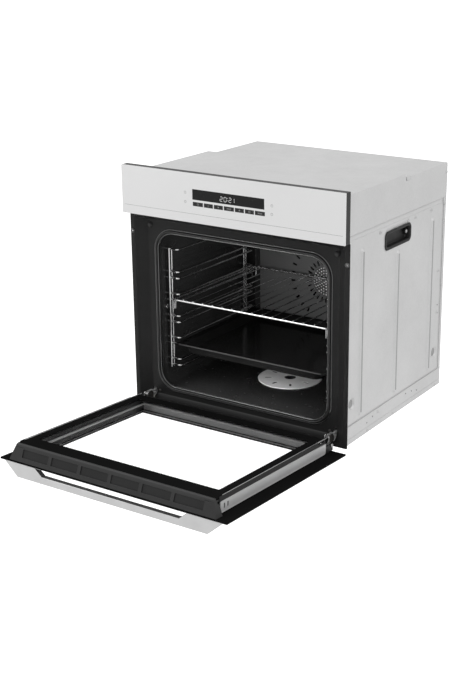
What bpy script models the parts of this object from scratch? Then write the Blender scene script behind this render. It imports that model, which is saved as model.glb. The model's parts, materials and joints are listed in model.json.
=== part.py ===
"""Built-in electric wall oven with its door open, one Blender object for each separate piece.

The x axis runs to the right, y runs from the front to the back and z runs up.  Lengths below are in millimetres and
y is measured from the front face of the control panel; place() turns them into metres about the base's centre.
The door is modelled closed and is then opened about its hinge.
"""

import math

import bmesh
import bpy
from mathutils import Matrix, Vector

MM = 0.001
GAP = 0.3
SHEET = 1.0

# overall sizes
FRONT_HALF = 297.5
BODY_HALF = 276.0
BODY_BACK = 539.0
BASE_CENTRE = 290.0
PANEL_TOP = 595.0
PANEL_BOTTOM = 482.5
GLASS = 4.0
PANEL_BACK = 22.0
TOP_FRONT = 579.0
TOP_REAR = 571.0
TOP_STEP = 316.0
SKIRT_TOP = 44.0
COVER_EDGE = 487.0
SIDE_BACK = 525.0
CASE_FRONT = 48.0

# front frame and cavity
FRAME_HALF = 296.5
FRAME_BOTTOM = 9.0
FRAME_TOP = 481.5
FRAME_FRONT = 25.0
FRAME_PLANE = 46.0
FRAME_SHEET = 1.5
OPENING_HALF = 231.0
OPENING_LOW = 53.0
OPENING_HIGH = 433.0
OPENING_RADIUS = 42.0
CAVITY_HALF = 241.0
CAVITY_LOW = 46.5
CAVITY_HIGH = 440.0
CAVITY_BACK = 470.0
PARTITION = 486.0

# door, closed, and its hinge
HINGE_Y = 17.65
HINGE_Z = 14.2
OPEN_ANGLE = 86.5
DOOR_LOW = 11.4
DOOR_HIGH = 478.4
INNER_FACE = 40.5
INNER_LOW = 45.0
INNER_HIGH = 462.0
DOOR_INNER_HALF = 262.0
HINGE_X = 254.0

# racks, shelf and tray
RAIL_X = 205.0
UPRIGHT_X = 228.0
RACK_FRONT = 86.0
RACK_BACK = 404.0
RAIL_WIRE = 2.5
FIRST_RAIL = 93.5
LEVEL_STEP = 55.0
PAIR_STEP = 15.7
LEVELS = 5
TOP_RAIL = 385.0
SHELF_LEVEL = 3
TRAY_LEVEL = 1

# hot air fan and cooling fan
FAN_Z = 253.0
COVER_FACE = 434.0
BLOWER_Y = 450.0
BLOWER_Z = 526.0

COLOURS = {
    "white_glass": ((0.80, 0.80, 0.80), 0.15, 0.0),
    "door_glass": ((0.35, 0.37, 0.38), 0.05, 0.0),
    "galvanised": ((0.62, 0.63, 0.64), 0.42, 0.9),
    "black_enamel": ((0.028, 0.029, 0.031), 0.30, 0.0),
    "black_plastic": ((0.022, 0.022, 0.024), 0.50, 0.0),
    "charcoal_plastic": ((0.060, 0.062, 0.066), 0.45, 0.0),
    "chrome_wire": ((0.75, 0.75, 0.76), 0.16, 1.0),
    "steel": ((0.55, 0.56, 0.58), 0.30, 1.0),
    "silver_handle": ((0.66, 0.67, 0.68), 0.32, 0.6),
    "heater_sheath": ((0.16, 0.15, 0.14), 0.45, 0.8),
    "grey_seal": ((0.20, 0.20, 0.21), 0.75, 0.0),
    "glass_wool": ((0.78, 0.72, 0.50), 0.95, 0.0),
    "lamp_glass": ((0.85, 0.86, 0.84), 0.10, 0.0),
    "circuit_board": ((0.05, 0.22, 0.12), 0.50, 0.0),
    "rubber": ((0.10, 0.10, 0.11), 0.80, 0.0),
}


def start_collections():
    """Empty the file and make the collections for the pieces and for the cutters."""
    for old in list(bpy.data.objects):
        bpy.data.objects.remove(old, do_unlink=True)
    made = {}
    for name in ("wall_oven", "cutters"):
        made[name] = bpy.data.collections.new(name)
        bpy.context.scene.collection.children.link(made[name])
    return made["wall_oven"], made["cutters"]


PARTS, CUTTERS = start_collections()


def material(slot):
    """The Principled material of a slot, made on first use."""
    found = bpy.data.materials.get(slot)
    if found:
        return found
    colour, roughness, metallic = COLOURS[slot]
    made = bpy.data.materials.new(slot)
    made.use_nodes = True
    shader = made.node_tree.nodes["Principled BSDF"]
    shader.inputs["Base Color"].default_value = (*colour, 1.0)
    shader.inputs["Roughness"].default_value = roughness
    shader.inputs["Metallic"].default_value = metallic
    made.diffuse_color = (*colour, 1.0)
    return made


def place(x, y, z):
    """A point in metres from millimetres, with y taken from the front face."""
    return Vector((x * MM, (y - BASE_CENTRE) * MM, z * MM))


def shape_from(bm, name="shape"):
    """An object in the cutters' collection from a bmesh; finish() moves the ones that are pieces."""
    bmesh.ops.recalc_face_normals(bm, faces=bm.faces)
    mesh = bpy.data.meshes.new(name)
    bm.to_mesh(mesh)
    bm.free()
    made = bpy.data.objects.new(name, mesh)
    made.hide_render = True
    made.display_type = "WIRE"
    CUTTERS.objects.link(made)
    return made


def finish(shape, name, slot, smooth=False):
    """Turn a shape into a named piece with its material."""
    CUTTERS.objects.unlink(shape)
    PARTS.objects.link(shape)
    shape.name = name
    shape.hide_render = False
    shape.display_type = "TEXTURED"
    shape.data.materials.clear()
    shape.data.materials.append(material(slot))
    if smooth:
        shape.data.shade_smooth()
        shape.data.set_sharp_from_angle(angle=math.radians(35))
    return shape


def block(low, high):
    """A box between two corners."""
    bm = bmesh.new()
    bmesh.ops.create_cube(bm, size=1.0)
    a = place(*low)
    b = place(*high)
    size = b - a
    bmesh.ops.scale(bm, vec=size, verts=bm.verts)
    bmesh.ops.translate(bm, vec=(a + b) / 2, verts=bm.verts)
    return shape_from(bm)


def mirrored_block(half, y_low, z_low, y_high, z_high):
    """A box centred on x = 0."""
    return block((-half, y_low, z_low), (half, y_high, z_high))


def rounded_block(low, high, radius, axis, segments=4, front_scale=None):
    """A box whose four edges along an axis are rounded; front_scale, as (x, z) millimetres, widens its front face."""
    bm = bmesh.new()
    bmesh.ops.create_cube(bm, size=1.0)
    a = place(*low)
    b = place(*high)
    bmesh.ops.scale(bm, vec=b - a, verts=bm.verts)
    if front_scale:
        for vert in bm.verts:
            if vert.co.y < 0:
                vert.co.x += front_scale[0] * MM * math.copysign(1, vert.co.x)
                vert.co.z += front_scale[1] * MM * math.copysign(1, vert.co.z)
    along = []
    for edge in bm.edges:
        step = edge.verts[1].co - edge.verts[0].co
        others = [abs(step[i]) for i in range(3) if i != axis]
        if abs(step[axis]) > max(others):
            along.append(edge)
    bmesh.ops.bevel(bm, geom=along, offset=radius * MM, segments=segments, profile=0.5, affect="EDGES")
    bmesh.ops.translate(bm, vec=(a + b) / 2, verts=bm.verts)
    return shape_from(bm)


def rod(start, end, radius, end_radius=None, sides=16):
    """A cylinder or cone from one point to another."""
    a = place(*start)
    b = place(*end)
    bm = bmesh.new()
    second = radius if end_radius is None else end_radius
    bmesh.ops.create_cone(
        bm,
        cap_ends=True,
        segments=sides,
        radius1=radius * MM,
        radius2=second * MM,
        depth=(b - a).length,
    )
    turn = Vector((0, 0, 1)).rotation_difference(b - a).to_matrix().to_4x4()
    bmesh.ops.transform(bm, matrix=Matrix.Translation((a + b) / 2) @ turn, verts=bm.verts)
    return shape_from(bm)


def ring(centre, outer, inner, y_low, y_high, sides=24):
    """A flat ring or short tube whose axis runs front to back."""
    x, z = centre
    body = rod((x, y_low, z), (x, y_high, z), outer, sides=sides)
    hole = rod((x, y_low - 1, z), (x, y_high + 1, z), inner, sides=sides)
    return cut(body, hole)


def combine(target, operation, tools):
    for tool in tools:
        step = target.modifiers.new(operation.lower(), "BOOLEAN")
        step.operation = operation
        step.solver = "EXACT"
        step.object = tool
    return target


def cut(target, *tools):
    return combine(target, "DIFFERENCE", tools)


def join(target, *tools):
    return combine(target, "UNION", tools)


def mesh_from_curve(curve_object):
    """A welded mesh object from a curve object, in place of it."""
    bpy.context.view_layer.update()
    graph = bpy.context.evaluated_depsgraph_get()
    mesh = bpy.data.meshes.new_from_object(curve_object.evaluated_get(graph))
    matrix = curve_object.matrix_world.copy()
    bpy.data.objects.remove(curve_object, do_unlink=True)
    bm = bmesh.new()
    bm.from_mesh(mesh)
    bmesh.ops.remove_doubles(bm, verts=bm.verts, dist=0.000001)
    bmesh.ops.transform(bm, matrix=matrix, verts=bm.verts)
    return shape_from(bm)


def tube(points, radius, closed=False, fine=True):
    """A round wire through points in millimetres, of eight sides, or of six where it isn't fine."""
    curve = bpy.data.curves.new("wire", "CURVE")
    curve.dimensions = "3D"
    curve.bevel_depth = radius * MM
    curve.bevel_resolution = 2 if fine else 1
    curve.use_fill_caps = not closed
    spline = curve.splines.new("POLY")
    spline.points.add(len(points) - 1)
    spline.use_cyclic_u = closed
    for slot, point in zip(spline.points, points):
        slot.co = (*place(*point), 1.0)
    wire = bpy.data.objects.new("wire", curve)
    CUTTERS.objects.link(wire)
    return mesh_from_curve(wire)


def bent(points, radius, steps=3):
    """Points along straight runs whose corners are rounded arcs of a given radius."""
    path = [Vector(points[0])]
    for before, corner, after in zip(points, points[1:], points[2:]):
        corner = Vector(corner)
        back = (Vector(before) - corner).normalized()
        ahead = (Vector(after) - corner).normalized()
        half = back.angle(ahead) / 2
        reach = radius / math.tan(half)
        centre = corner + (back + ahead).normalized() * radius / math.sin(half)
        start = corner + back * reach - centre
        end = corner + ahead * reach - centre
        sweep = start.angle(end)
        for i in range(steps + 1):
            t = i / steps
            along = (start * math.sin((1 - t) * sweep) + end * math.sin(t * sweep)) / math.sin(sweep)
            path.append(centre + along)
    path.append(Vector(points[-1]))
    return path


def plate(outline, low, high, normal):
    """A flat plate from an outline: normal "x" reads it as (y, z) pairs, normal "z" as (x, y) pairs."""
    curve = bpy.data.curves.new("outline", "CURVE")
    curve.dimensions = "2D"
    curve.fill_mode = "BOTH"
    curve.extrude = (high - low) / 2 * MM
    spline = curve.splines.new("POLY")
    spline.points.add(len(outline) - 1)
    spline.use_cyclic_u = True
    for slot, (u, v) in zip(spline.points, outline):
        slot.co = (u * MM, v * MM, 0.0, 1.0)
    flat = bpy.data.objects.new("outline", curve)
    CUTTERS.objects.link(flat)
    middle = (low + high) / 2
    if normal == "x":
        turn = Matrix(((0, 0, 1), (1, 0, 0), (0, 1, 0))).to_4x4()
        flat.matrix_world = Matrix.Translation(place(middle, 0, 0)) @ turn
    else:
        flat.matrix_world = Matrix.Translation(place(0, 0, middle))
    return mesh_from_curve(flat)


def hang(name, origin, angle, members):
    """Parent pieces and their cutters to an empty on a joint's axis, then turn the empty about x by angle."""
    axis = bpy.data.objects.new(name, None)
    axis.location = origin
    PARTS.objects.link(axis)
    bpy.context.view_layer.update()
    undo = axis.matrix_world.inverted()
    for member in members:
        member.parent = axis
        member.matrix_parent_inverse = undo
    axis.rotation_euler.x = math.radians(angle)
    return axis


def sides(build):
    """Call a builder for the left side and for the right side, which it gets as -1 and 1."""
    return [build(-1, "left"), build(1, "right")]


def side_block(side, x_low, y_low, z_low, x_high, y_high, z_high):
    """A box on one side: x runs outwards from the middle."""
    xs = sorted((side * x_low, side * x_high))
    return block((xs[0], y_low, z_low), (xs[1], y_high, z_high))


# ---------------------------------------------------------------- outer case


def top_cover():
    """Stepped sheet lid with a skirt down each side."""
    cover = mirrored_block(BODY_HALF, 27, COVER_EDGE, TOP_STEP + SHEET, TOP_FRONT)
    inner = BODY_HALF - SHEET
    join(cover, mirrored_block(BODY_HALF, TOP_STEP - 20, COVER_EDGE, BODY_BACK, TOP_REAR))
    cut(cover, mirrored_block(inner, 10, COVER_EDGE - 9, TOP_STEP, TOP_FRONT - SHEET))
    cut(cover, mirrored_block(inner, TOP_STEP - 30, COVER_EDGE - 9, BODY_BACK + 9, TOP_REAR - SHEET))
    for side in (-1, 1):
        cut(cover, side_block(side, BODY_HALF - 4, 320, TOP_REAR - 8, BODY_HALF + 4, 342, TOP_REAR + 4))
    return finish(cover, "top_cover", "galvanised")


RIBS = ((118.0, 445.0), (288.0, 403.0), (466.0, 445.0))
RIB_LOW = 60.0
GRIP_FRONT = 226.0
GRIP_BACK = 345.0
GRIP_LOW = 423.0
GRIP_HIGH = 457.0
DIMPLES = ((80.0, 95.0), (500.0, 95.0))


def side_panel(side, word):
    """Sheet side with three stiffening beads, two round dimples and the opening for the hand grip."""
    outer = side * BODY_HALF
    panel = side_block(side, BODY_HALF - SHEET, CASE_FRONT, SKIRT_TOP + GAP, BODY_HALF, SIDE_BACK, COVER_EDGE - GAP)
    for y, top in RIBS:
        bead = rod((outer - side * 4.5, y, RIB_LOW), (outer - side * 4.5, y, top), 7.0, sides=12)
        trim = side_block(side, BODY_HALF - 30, y - 9, RIB_LOW - 9, BODY_HALF - SHEET / 2, y + 9, top + 9)
        join(panel, cut(bead, trim))
    for y, z in DIMPLES:
        join(panel, rod((outer - side * 0.5, y, z), (outer - side * 3.6, y, z), 15.0, 9.0, sides=20))
        cut(panel, rod((outer + side * 0.5, y, z), (outer - side * 2.6, y, z), 15.0, 8.0, sides=20))
    xs = sorted((outer - side * 5, outer + side * 5))
    cut(panel, rounded_block((xs[0], GRIP_FRONT, GRIP_LOW), (xs[1], GRIP_BACK, GRIP_HIGH), 8, 0))
    return finish(panel, "side_panel_" + word, "galvanised")


GRIP_DEPTH = 12.0


def hand_grip(side, word):
    """Recessed plastic cup with a rim that sits on the side panel."""
    rim = 5.0
    lip = 2.0
    wall = 1.6
    xs = sorted((side * (BODY_HALF + GAP), side * (BODY_HALF + GAP + lip)))
    grip = rounded_block((xs[0], GRIP_FRONT - rim, GRIP_LOW - rim), (xs[1], GRIP_BACK + rim, GRIP_HIGH + rim), 12, 0)
    xs = sorted((side * (BODY_HALF - GRIP_DEPTH), side * (BODY_HALF + GAP + lip / 2)))
    low = (xs[0], GRIP_FRONT + GAP, GRIP_LOW + GAP)
    high = (xs[1], GRIP_BACK - GAP, GRIP_HIGH - GAP)
    join(grip, rounded_block(low, high, 8, 0))
    inset = GAP + wall
    xs = sorted((side * (BODY_HALF - GRIP_DEPTH + wall), side * (BODY_HALF + 6)))
    low = (xs[0], GRIP_FRONT + inset, GRIP_LOW + inset)
    high = (xs[1], GRIP_BACK - inset, GRIP_HIGH - inset)
    cut(grip, rounded_block(low, high, 7, 0))
    return finish(grip, "hand_grip_" + word, "black_plastic")


GLAND_X = 200.0
GLAND_Z = 510.0


def rear_panel():
    """Back sheet with side flanges, louvre slots and the cable entry."""
    inner = BODY_HALF - SHEET - GAP
    back = mirrored_block(BODY_HALF, BODY_BACK - SHEET, SKIRT_TOP + GAP, BODY_BACK, COVER_EDGE - GAP)
    join(back, mirrored_block(inner, BODY_BACK - SHEET, COVER_EDGE - 5, BODY_BACK, TOP_REAR - SHEET - GAP))
    for side in (-1, 1):
        low_y = SIDE_BACK + GAP
        flange = side_block(
            side, BODY_HALF - SHEET, low_y, SKIRT_TOP + GAP, BODY_HALF, BODY_BACK - SHEET / 2, COVER_EDGE - GAP
        )
        join(back, flange)
        for i in range(6):
            x = side * (70 + 30 * i)
            cut(back, block((x - 11, BODY_BACK - 5, 452), (x + 11, BODY_BACK + 5, 458)))
            cut(back, block((x - 11, BODY_BACK - 5, 80), (x + 11, BODY_BACK + 5, 86)))
    cut(back, rod((GLAND_X, BODY_BACK - 5, GLAND_Z), (GLAND_X, BODY_BACK + 5, GLAND_Z), 11.0))
    return finish(back, "rear_panel", "galvanised")


def cable_gland():
    """Plastic bushing in the back sheet for a supply lead."""
    gland = rod((GLAND_X, BODY_BACK - 9, GLAND_Z), (GLAND_X, BODY_BACK + 4, GLAND_Z), 10.5)
    join(gland, rod((GLAND_X, BODY_BACK + GAP, GLAND_Z), (GLAND_X, BODY_BACK + 3.3, GLAND_Z), 15.0))
    cut(gland, rod((GLAND_X, BODY_BACK - 20, GLAND_Z), (GLAND_X, BODY_BACK + 20, GLAND_Z), 6.0))
    return finish(gland, "cable_gland", "black_plastic", smooth=True)


def base_tray():
    """Bottom sheet with skirts and cooling slots."""
    tray = mirrored_block(BODY_HALF, CASE_FRONT, 0, BODY_BACK, SKIRT_TOP)
    inner = BODY_HALF - SHEET
    cut(tray, mirrored_block(inner, CASE_FRONT - 9, SHEET, BODY_BACK - SHEET, SKIRT_TOP + 9))
    for i in range(5):
        for side in (-1, 1):
            x = side * (60 + 36 * i)
            cut(tray, block((x - 12, 96, -5), (x + 12, 102, 5)))
    return finish(tray, "base_tray", "galvanised")


def partition_plate():
    """Sheet above the insulation that carries the fan, the duct and the boards."""
    sheet = mirrored_block(272, CASE_FRONT + 2, PARTITION, 535, PARTITION + SHEET)
    cut(sheet, rod((OUTLET[0], OUTLET[1], PARTITION - 5), (OUTLET[0], OUTLET[1], PARTITION + 6), 14.0))
    return finish(sheet, "partition_plate", "galvanised")


# ---------------------------------------------------------------- front frame and cavity

SLOT_LOW = 17.0
SLOT_HIGH = 42.0
BUSH_X = 290.0
BUSH_Z = 434.0
SCREW_HOLE_X = 240.0
SCREW_HOLE_Z = 35.0


def front_frame():
    """Enamelled frame: a flat border, a slope back to the sealing plane, and the cavity opening."""
    depth = FRAME_PLANE - FRAME_FRONT
    slope_half = 261.0
    slope_low = 27.0
    slope_high = 464.0
    spread = (25.0, 14.0)
    frame = mirrored_block(FRAME_HALF, FRAME_FRONT, FRAME_BOTTOM, FRAME_FRONT + FRAME_SHEET, FRAME_TOP)
    low = (-slope_half - FRAME_SHEET, FRAME_FRONT + 0.2, slope_low - FRAME_SHEET)
    high = (slope_half + FRAME_SHEET, FRAME_PLANE + FRAME_SHEET, slope_high + FRAME_SHEET)
    join(frame, rounded_block(low, high, 14, 1, front_scale=spread))
    low = (-slope_half, FRAME_FRONT - 0.5, slope_low)
    high = (slope_half, FRAME_PLANE, slope_high)
    reach = (spread[0] * (depth + 0.5) / depth, spread[1] * (depth + 0.5) / depth)
    cut(frame, rounded_block(low, high, 14, 1, front_scale=reach))
    low = (-OPENING_HALF, FRAME_PLANE - 20, OPENING_LOW)
    high = (OPENING_HALF, FRAME_PLANE + 20, OPENING_HIGH)
    cut(frame, rounded_block(low, high, OPENING_RADIUS, 1, segments=6))
    for side in (-1, 1):
        cut(frame, side_block(side, HINGE_X - 5, FRAME_FRONT - 10, SLOT_LOW, HINGE_X + 5, 60, SLOT_HIGH))
        hole_x = side * SCREW_HOLE_X
        cut(frame, rod((hole_x, 30, SCREW_HOLE_Z), (hole_x, 60, SCREW_HOLE_Z), 2.6, sides=10))
        bush = side * BUSH_X
        cut(frame, rod((bush, 15, BUSH_Z), (bush, 35, BUSH_Z), 2.6, sides=10))
    return finish(frame, "front_frame", "black_enamel")


def frame_bush(side, word):
    """Collar for the screw that holds the oven in its cabinet."""
    bush = ring((side * BUSH_X, BUSH_Z), 5.5, 2.4, FRAME_FRONT - GAP - 3, FRAME_FRONT - GAP, sides=16)
    return finish(bush, "frame_bush_" + word, "steel", smooth=True)


def door_buffer(side, word):
    """Rubber buffer that the closed door rests on."""
    x = side * 254.0
    pad = rod((x, FRAME_PLANE - GAP, 449), (x, FRAME_PLANE - 3.2, 449), 6.0, 5.0)
    join(pad, rod((x, FRAME_PLANE - 3, 449), (x, INNER_FACE + GAP, 449), 5.0, 3.2))
    return finish(pad, "door_buffer_" + word, "rubber", smooth=True)


OUTLET = (140.0, 250.0)
LAMP = (-186.0, 425.0)
LAMP_RADIUS = 24.0


def cavity_liner():
    """Enamelled box, open at the front, with rounded long edges."""
    edge = CAVITY_HALF + SHEET
    low = (-edge, FRAME_PLANE + FRAME_SHEET + GAP, CAVITY_LOW - SHEET)
    liner = rounded_block(low, (edge, CAVITY_BACK + SHEET, CAVITY_HIGH + SHEET), 25, 1)
    low = (-CAVITY_HALF, CASE_FRONT - 20, CAVITY_LOW)
    cut(liner, rounded_block(low, (CAVITY_HALF, CAVITY_BACK, CAVITY_HIGH), 24, 1))
    cut(liner, rod((LAMP[0], LAMP[1], CAVITY_HIGH - 9), (LAMP[0], LAMP[1], CAVITY_HIGH + 9), 20.0))
    cut(liner, rod((OUTLET[0], OUTLET[1], CAVITY_HIGH - 9), (OUTLET[0], OUTLET[1], CAVITY_HIGH + 9), 10.0))
    cut(liner, rod((0, CAVITY_BACK - 9, FAN_Z), (0, CAVITY_BACK + 9, FAN_Z), 9.0))
    return finish(liner, "cavity_liner", "black_enamel")


def cavity_insulation():
    """Mineral wool wrapped round the cavity, open at the front."""
    wool = mirrored_block(262, CASE_FRONT + 3, 6, 492, 470)
    cut(wool, mirrored_block(243.5, CASE_FRONT - 5, 27, CAVITY_BACK + 2.5, 442.5))
    for side in (-1, 1):
        cut(wool, side_block(side, 240, CASE_FRONT - 5, 0, 270, 100, 62))
    cut(wool, rod((LAMP[0], LAMP[1], 430), (LAMP[0], LAMP[1], 480), 27.0))
    cut(wool, rod((OUTLET[0], OUTLET[1], 430), (OUTLET[0], OUTLET[1], 480), 13.0))
    cut(wool, rod((0, 460, FAN_Z), (0, 500, FAN_Z), 12.0))
    return finish(wool, "cavity_insulation", "glass_wool")


def rounded_loop(half, z_low, z_high, radius, y, steps):
    """Points round a rectangle with rounded corners in a plane of constant y."""
    centres = (
        (half - radius, z_high - radius, 0),
        (-half + radius, z_high - radius, 90),
        (-half + radius, z_low + radius, 180),
        (half - radius, z_low + radius, 270),
    )
    points = []
    for x, z, start in centres:
        for i in range(steps + 1):
            turn = math.radians(start + 90 * i / steps)
            points.append((x + radius * math.cos(turn), y, z + radius * math.sin(turn)))
    return points


def cavity_gasket():
    """Soft seal round the opening that the closed door meets."""
    radius = 2.3
    y = FRAME_PLANE - GAP - radius
    grow = 6.0
    loop = rounded_loop(
        OPENING_HALF + grow, OPENING_LOW - grow, OPENING_HIGH + grow, OPENING_RADIUS + grow, y, 6
    )
    return finish(tube(loop, radius, closed=True), "cavity_gasket", "grey_seal", smooth=True)


def floor_disc():
    """Round vented plate on the cavity floor."""
    centre_y = 262.0
    z = CAVITY_LOW + GAP
    disc = rod((0, centre_y, z), (0, centre_y, z + 1.4), 80.0, sides=40)
    cut(disc, rod((0, centre_y, z - 5), (0, centre_y, z + 5), 14.0, sides=16))
    for i in range(8):
        turn = math.radians(22.5 + 45 * i)
        slot = block((-9, BASE_CENTRE - 1.5, z - 5), (9, BASE_CENTRE + 1.5, z + 5))
        slot.matrix_world = (
            Matrix.Translation((54 * MM * math.cos(turn), (centre_y - BASE_CENTRE + 54 * math.sin(turn)) * MM, 0))
            @ Matrix.Rotation(turn, 4, "Z")
        )
        cut(disc, slot)
    return finish(disc, "floor_disc", "steel")


# ---------------------------------------------------------------- heating, hot air and light


def serpentine(half, y_low, y_high, z, runs, radius):
    """Points of a heating element: straight runs along y joined by bends, its two ends at the back."""
    step = 2 * half / (runs - 1)
    points = [(-half, y_high + 30, z)]
    for i in range(runs):
        x = -half + step * i
        ends = (y_high, y_low) if i % 2 == 0 else (y_low, y_high)
        points.append((x, ends[0], z))
        points.append((x, ends[1], z))
    points.append((half, y_high + 30, z))
    cleaned = [points[0]] + [p for p in points[2:-2]] + [points[-1]]
    return bent(cleaned, radius, steps=4)


def heating_elements():
    grill = serpentine(150, 100, 395, 424, 6, 24)
    finish(tube(grill, 3.2, fine=False), "grill_element", "heater_sheath", smooth=True)
    bottom = serpentine(170, 110, 400, 36, 4, 40)
    finish(tube(bottom, 3.2, fine=False), "bottom_element", "heater_sheath", smooth=True)
    radius = 92.0
    hoop = []
    for i in range(23):
        turn = math.radians(-80 + 340 * i / 22)
        hoop.append((radius * math.cos(turn), 452, FAN_Z + radius * math.sin(turn)))
    hoop.reverse()
    finish(tube(hoop, 3.2, fine=False), "ring_element", "heater_sheath", smooth=True)


def fan_cover():
    """Shallow pan over the fan chamber with a hole grid, a ring of slots and outer arcs of slots."""
    back = CAVITY_BACK - GAP
    slope = (-12, -10)
    low = (-212, COVER_FACE, 62)
    cover = rounded_block(low, (212, back, 424), 6, 1, segments=2, front_scale=slope)
    low = (-211, COVER_FACE + SHEET, 63)
    cut(cover, rounded_block(low, (211, back + 4, 423), 6, 1, segments=2, front_scale=slope))
    for count, radius in ((1, 0), (6, 9), (12, 18), (18, 27)):
        for i in range(count):
            turn = 2 * math.pi * (i + 0.5 * (count == 12)) / count
            x = radius * math.cos(turn)
            z = FAN_Z + radius * math.sin(turn)
            cut(cover, rod((x, COVER_FACE - 4, z), (x, COVER_FACE + 4, z), 2.6, sides=6))
    for count, inner, outer, skip in ((20, 42, 56, False), (24, 94, 106, True)):
        for i in range(count):
            turn = 2 * math.pi * (i + 0.5) / count
            if skip and abs(math.cos(turn)) < 0.5:
                continue
            slot = block((inner, COVER_FACE - 4, -2.2), (outer, COVER_FACE + 4, 2.2))
            slot.matrix_world = Matrix.Translation((0, 0, FAN_Z * MM)) @ Matrix.Rotation(-turn, 4, "Y")
            cut(cover, slot)
    for step in cover.modifiers:
        step.solver = "MANIFOLD"
    return finish(cover, "fan_cover", "black_enamel")


def convection_fan():
    """Bladed rotor behind the cover, with its shaft through the cavity's back."""
    hub = rod((0, 438.5, FAN_Z), (0, 459, FAN_Z), 12.0)
    join(hub, rod((0, 450, FAN_Z), (0, 493.5, FAN_Z), 4.0, sides=12))
    join(hub, rod((0, 438.5, FAN_Z), (0, 440, FAN_Z), 62.0, sides=24))
    for i in range(8):
        blade = block((8, 439.4, -0.8), (68, 457.7, 0.8))
        blade.matrix_world = Matrix.Translation((0, 0, FAN_Z * MM)) @ Matrix.Rotation(math.tau * i / 8, 4, "Y")
        join(hub, blade)
    rotor = finish(hub, "convection_fan", "steel", smooth=True)
    hang("convection_fan_axis", place(0, 450, FAN_Z), 0, [rotor])


def fan_motor():
    """Motor can on a bracket behind the insulation."""
    motor = rod((0, 497, FAN_Z), (0, 533, FAN_Z), 33.0, sides=24)
    join(motor, block((-52, 495, FAN_Z - 14), (52, 498, FAN_Z + 14)))
    cut(motor, rod((0, 480, FAN_Z), (0, 516, FAN_Z), 5.5, sides=12))
    return finish(motor, "fan_motor", "steel", smooth=True)


def lamp():
    """Ceiling lamp: a housing above the liner and a lens inside it."""
    x, y = LAMP
    housing = rod((x, y, CAVITY_HIGH + SHEET + GAP), (x, y, 476), 25.0, sides=20)
    cut(housing, rod((x, y, CAVITY_HIGH - 5), (x, y, 470), 18.0, sides=20))
    finish(housing, "lamp_housing", "steel", smooth=True)
    lens = rod((x, y, CAVITY_HIGH - GAP - 1), (x, y, CAVITY_HIGH - GAP - 4), LAMP_RADIUS, LAMP_RADIUS, sides=20)
    join(lens, rod((x, y, CAVITY_HIGH - 4), (x, y, CAVITY_HIGH - 13), 20.0, 12.0, sides=20))
    join(lens, rod((x, y, CAVITY_HIGH - 3), (x, y, CAVITY_HIGH + 12), 17.0, 17.0, sides=20))
    cut(lens, rod((x, y, CAVITY_HIGH - 10), (x, y, CAVITY_HIGH + 20), 12.0, 14.0, sides=20))
    finish(lens, "lamp_lens", "lamp_glass", smooth=True)


def steam_outlet():
    x, y = OUTLET
    pipe = rod((x, y, CAVITY_HIGH + SHEET + GAP), (x, y, 505), 12.0, sides=16)
    cut(pipe, rod((x, y, CAVITY_HIGH - 5), (x, y, 520), 10.5, sides=16))
    return finish(pipe, "steam_outlet", "steel", smooth=True)


def temperature_probe():
    """Sensor rod on the right wall of the cavity."""
    z = 398.0
    y = 424.0
    probe = rod((CAVITY_HALF - GAP, y, z), (CAVITY_HALF - 3, y, z), 9.0)
    join(probe, rod((CAVITY_HALF - 2, y, z), (CAVITY_HALF - 42, y, z), 2.6, sides=10))
    return finish(probe, "temperature_probe", "steel", smooth=True)


# ---------------------------------------------------------------- cooling fan and electronics

IMPELLER_HALF = 88.0
IMPELLER_RADIUS = 26.0


def air_duct():
    """Flat duct that carries the cooling air to the front, with the fan's casing at its back."""
    z_low = PARTITION + SHEET + GAP
    duct = mirrored_block(100, 60, z_low, 420, z_low + 18)
    join(duct, mirrored_block(100, 412, z_low, BLOWER_Y + 36, BLOWER_Z + 33))
    cut(duct, mirrored_block(98.5, 50, z_low + 1.5, 430, z_low + 16.5))
    cut(duct, rod((-98.5, BLOWER_Y, BLOWER_Z), (98.5, BLOWER_Y, BLOWER_Z), 31.0, sides=24))
    cut(duct, mirrored_block(98.5, 425, z_low + 1.5, BLOWER_Y, z_low + 16.5))
    cut(duct, mirrored_block(90, BLOWER_Y - 20, BLOWER_Z, BLOWER_Y + 20, BLOWER_Z + 50))
    cut(duct, rod((90, BLOWER_Y, BLOWER_Z), (110, BLOWER_Y, BLOWER_Z), 7.0, sides=16))
    return finish(duct, "air_duct", "galvanised")


def cooling_impeller():
    """Drum rotor of the cross-flow cooling fan: end discs, blades and a shaft."""
    a = (-IMPELLER_HALF, BLOWER_Y, BLOWER_Z)
    b = (IMPELLER_HALF, BLOWER_Y, BLOWER_Z)
    drum = rod(a, (IMPELLER_HALF + 14, BLOWER_Y, BLOWER_Z), 3.0, sides=12)
    for x in (-IMPELLER_HALF, 0, IMPELLER_HALF - 2):
        join(drum, rod((x, a[1], a[2]), (x + 2, b[1], b[2]), IMPELLER_RADIUS, sides=24))
    for i in range(12):
        turn = math.tau * (i + 0.5) / 12
        blade = block((a[0] + 0.5, BASE_CENTRE - 0.7, 18), (b[0] - 0.5, BASE_CENTRE + 0.7, 25.2))
        shift = Matrix.Translation((0, (BLOWER_Y - BASE_CENTRE) * MM, BLOWER_Z * MM))
        blade.matrix_world = shift @ Matrix.Rotation(turn, 4, "X")
        join(drum, blade)
    rotor = finish(drum, "cooling_impeller", "steel", smooth=True)
    hang("cooling_impeller_axis", place(0, BLOWER_Y, BLOWER_Z), 0, [rotor])


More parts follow.
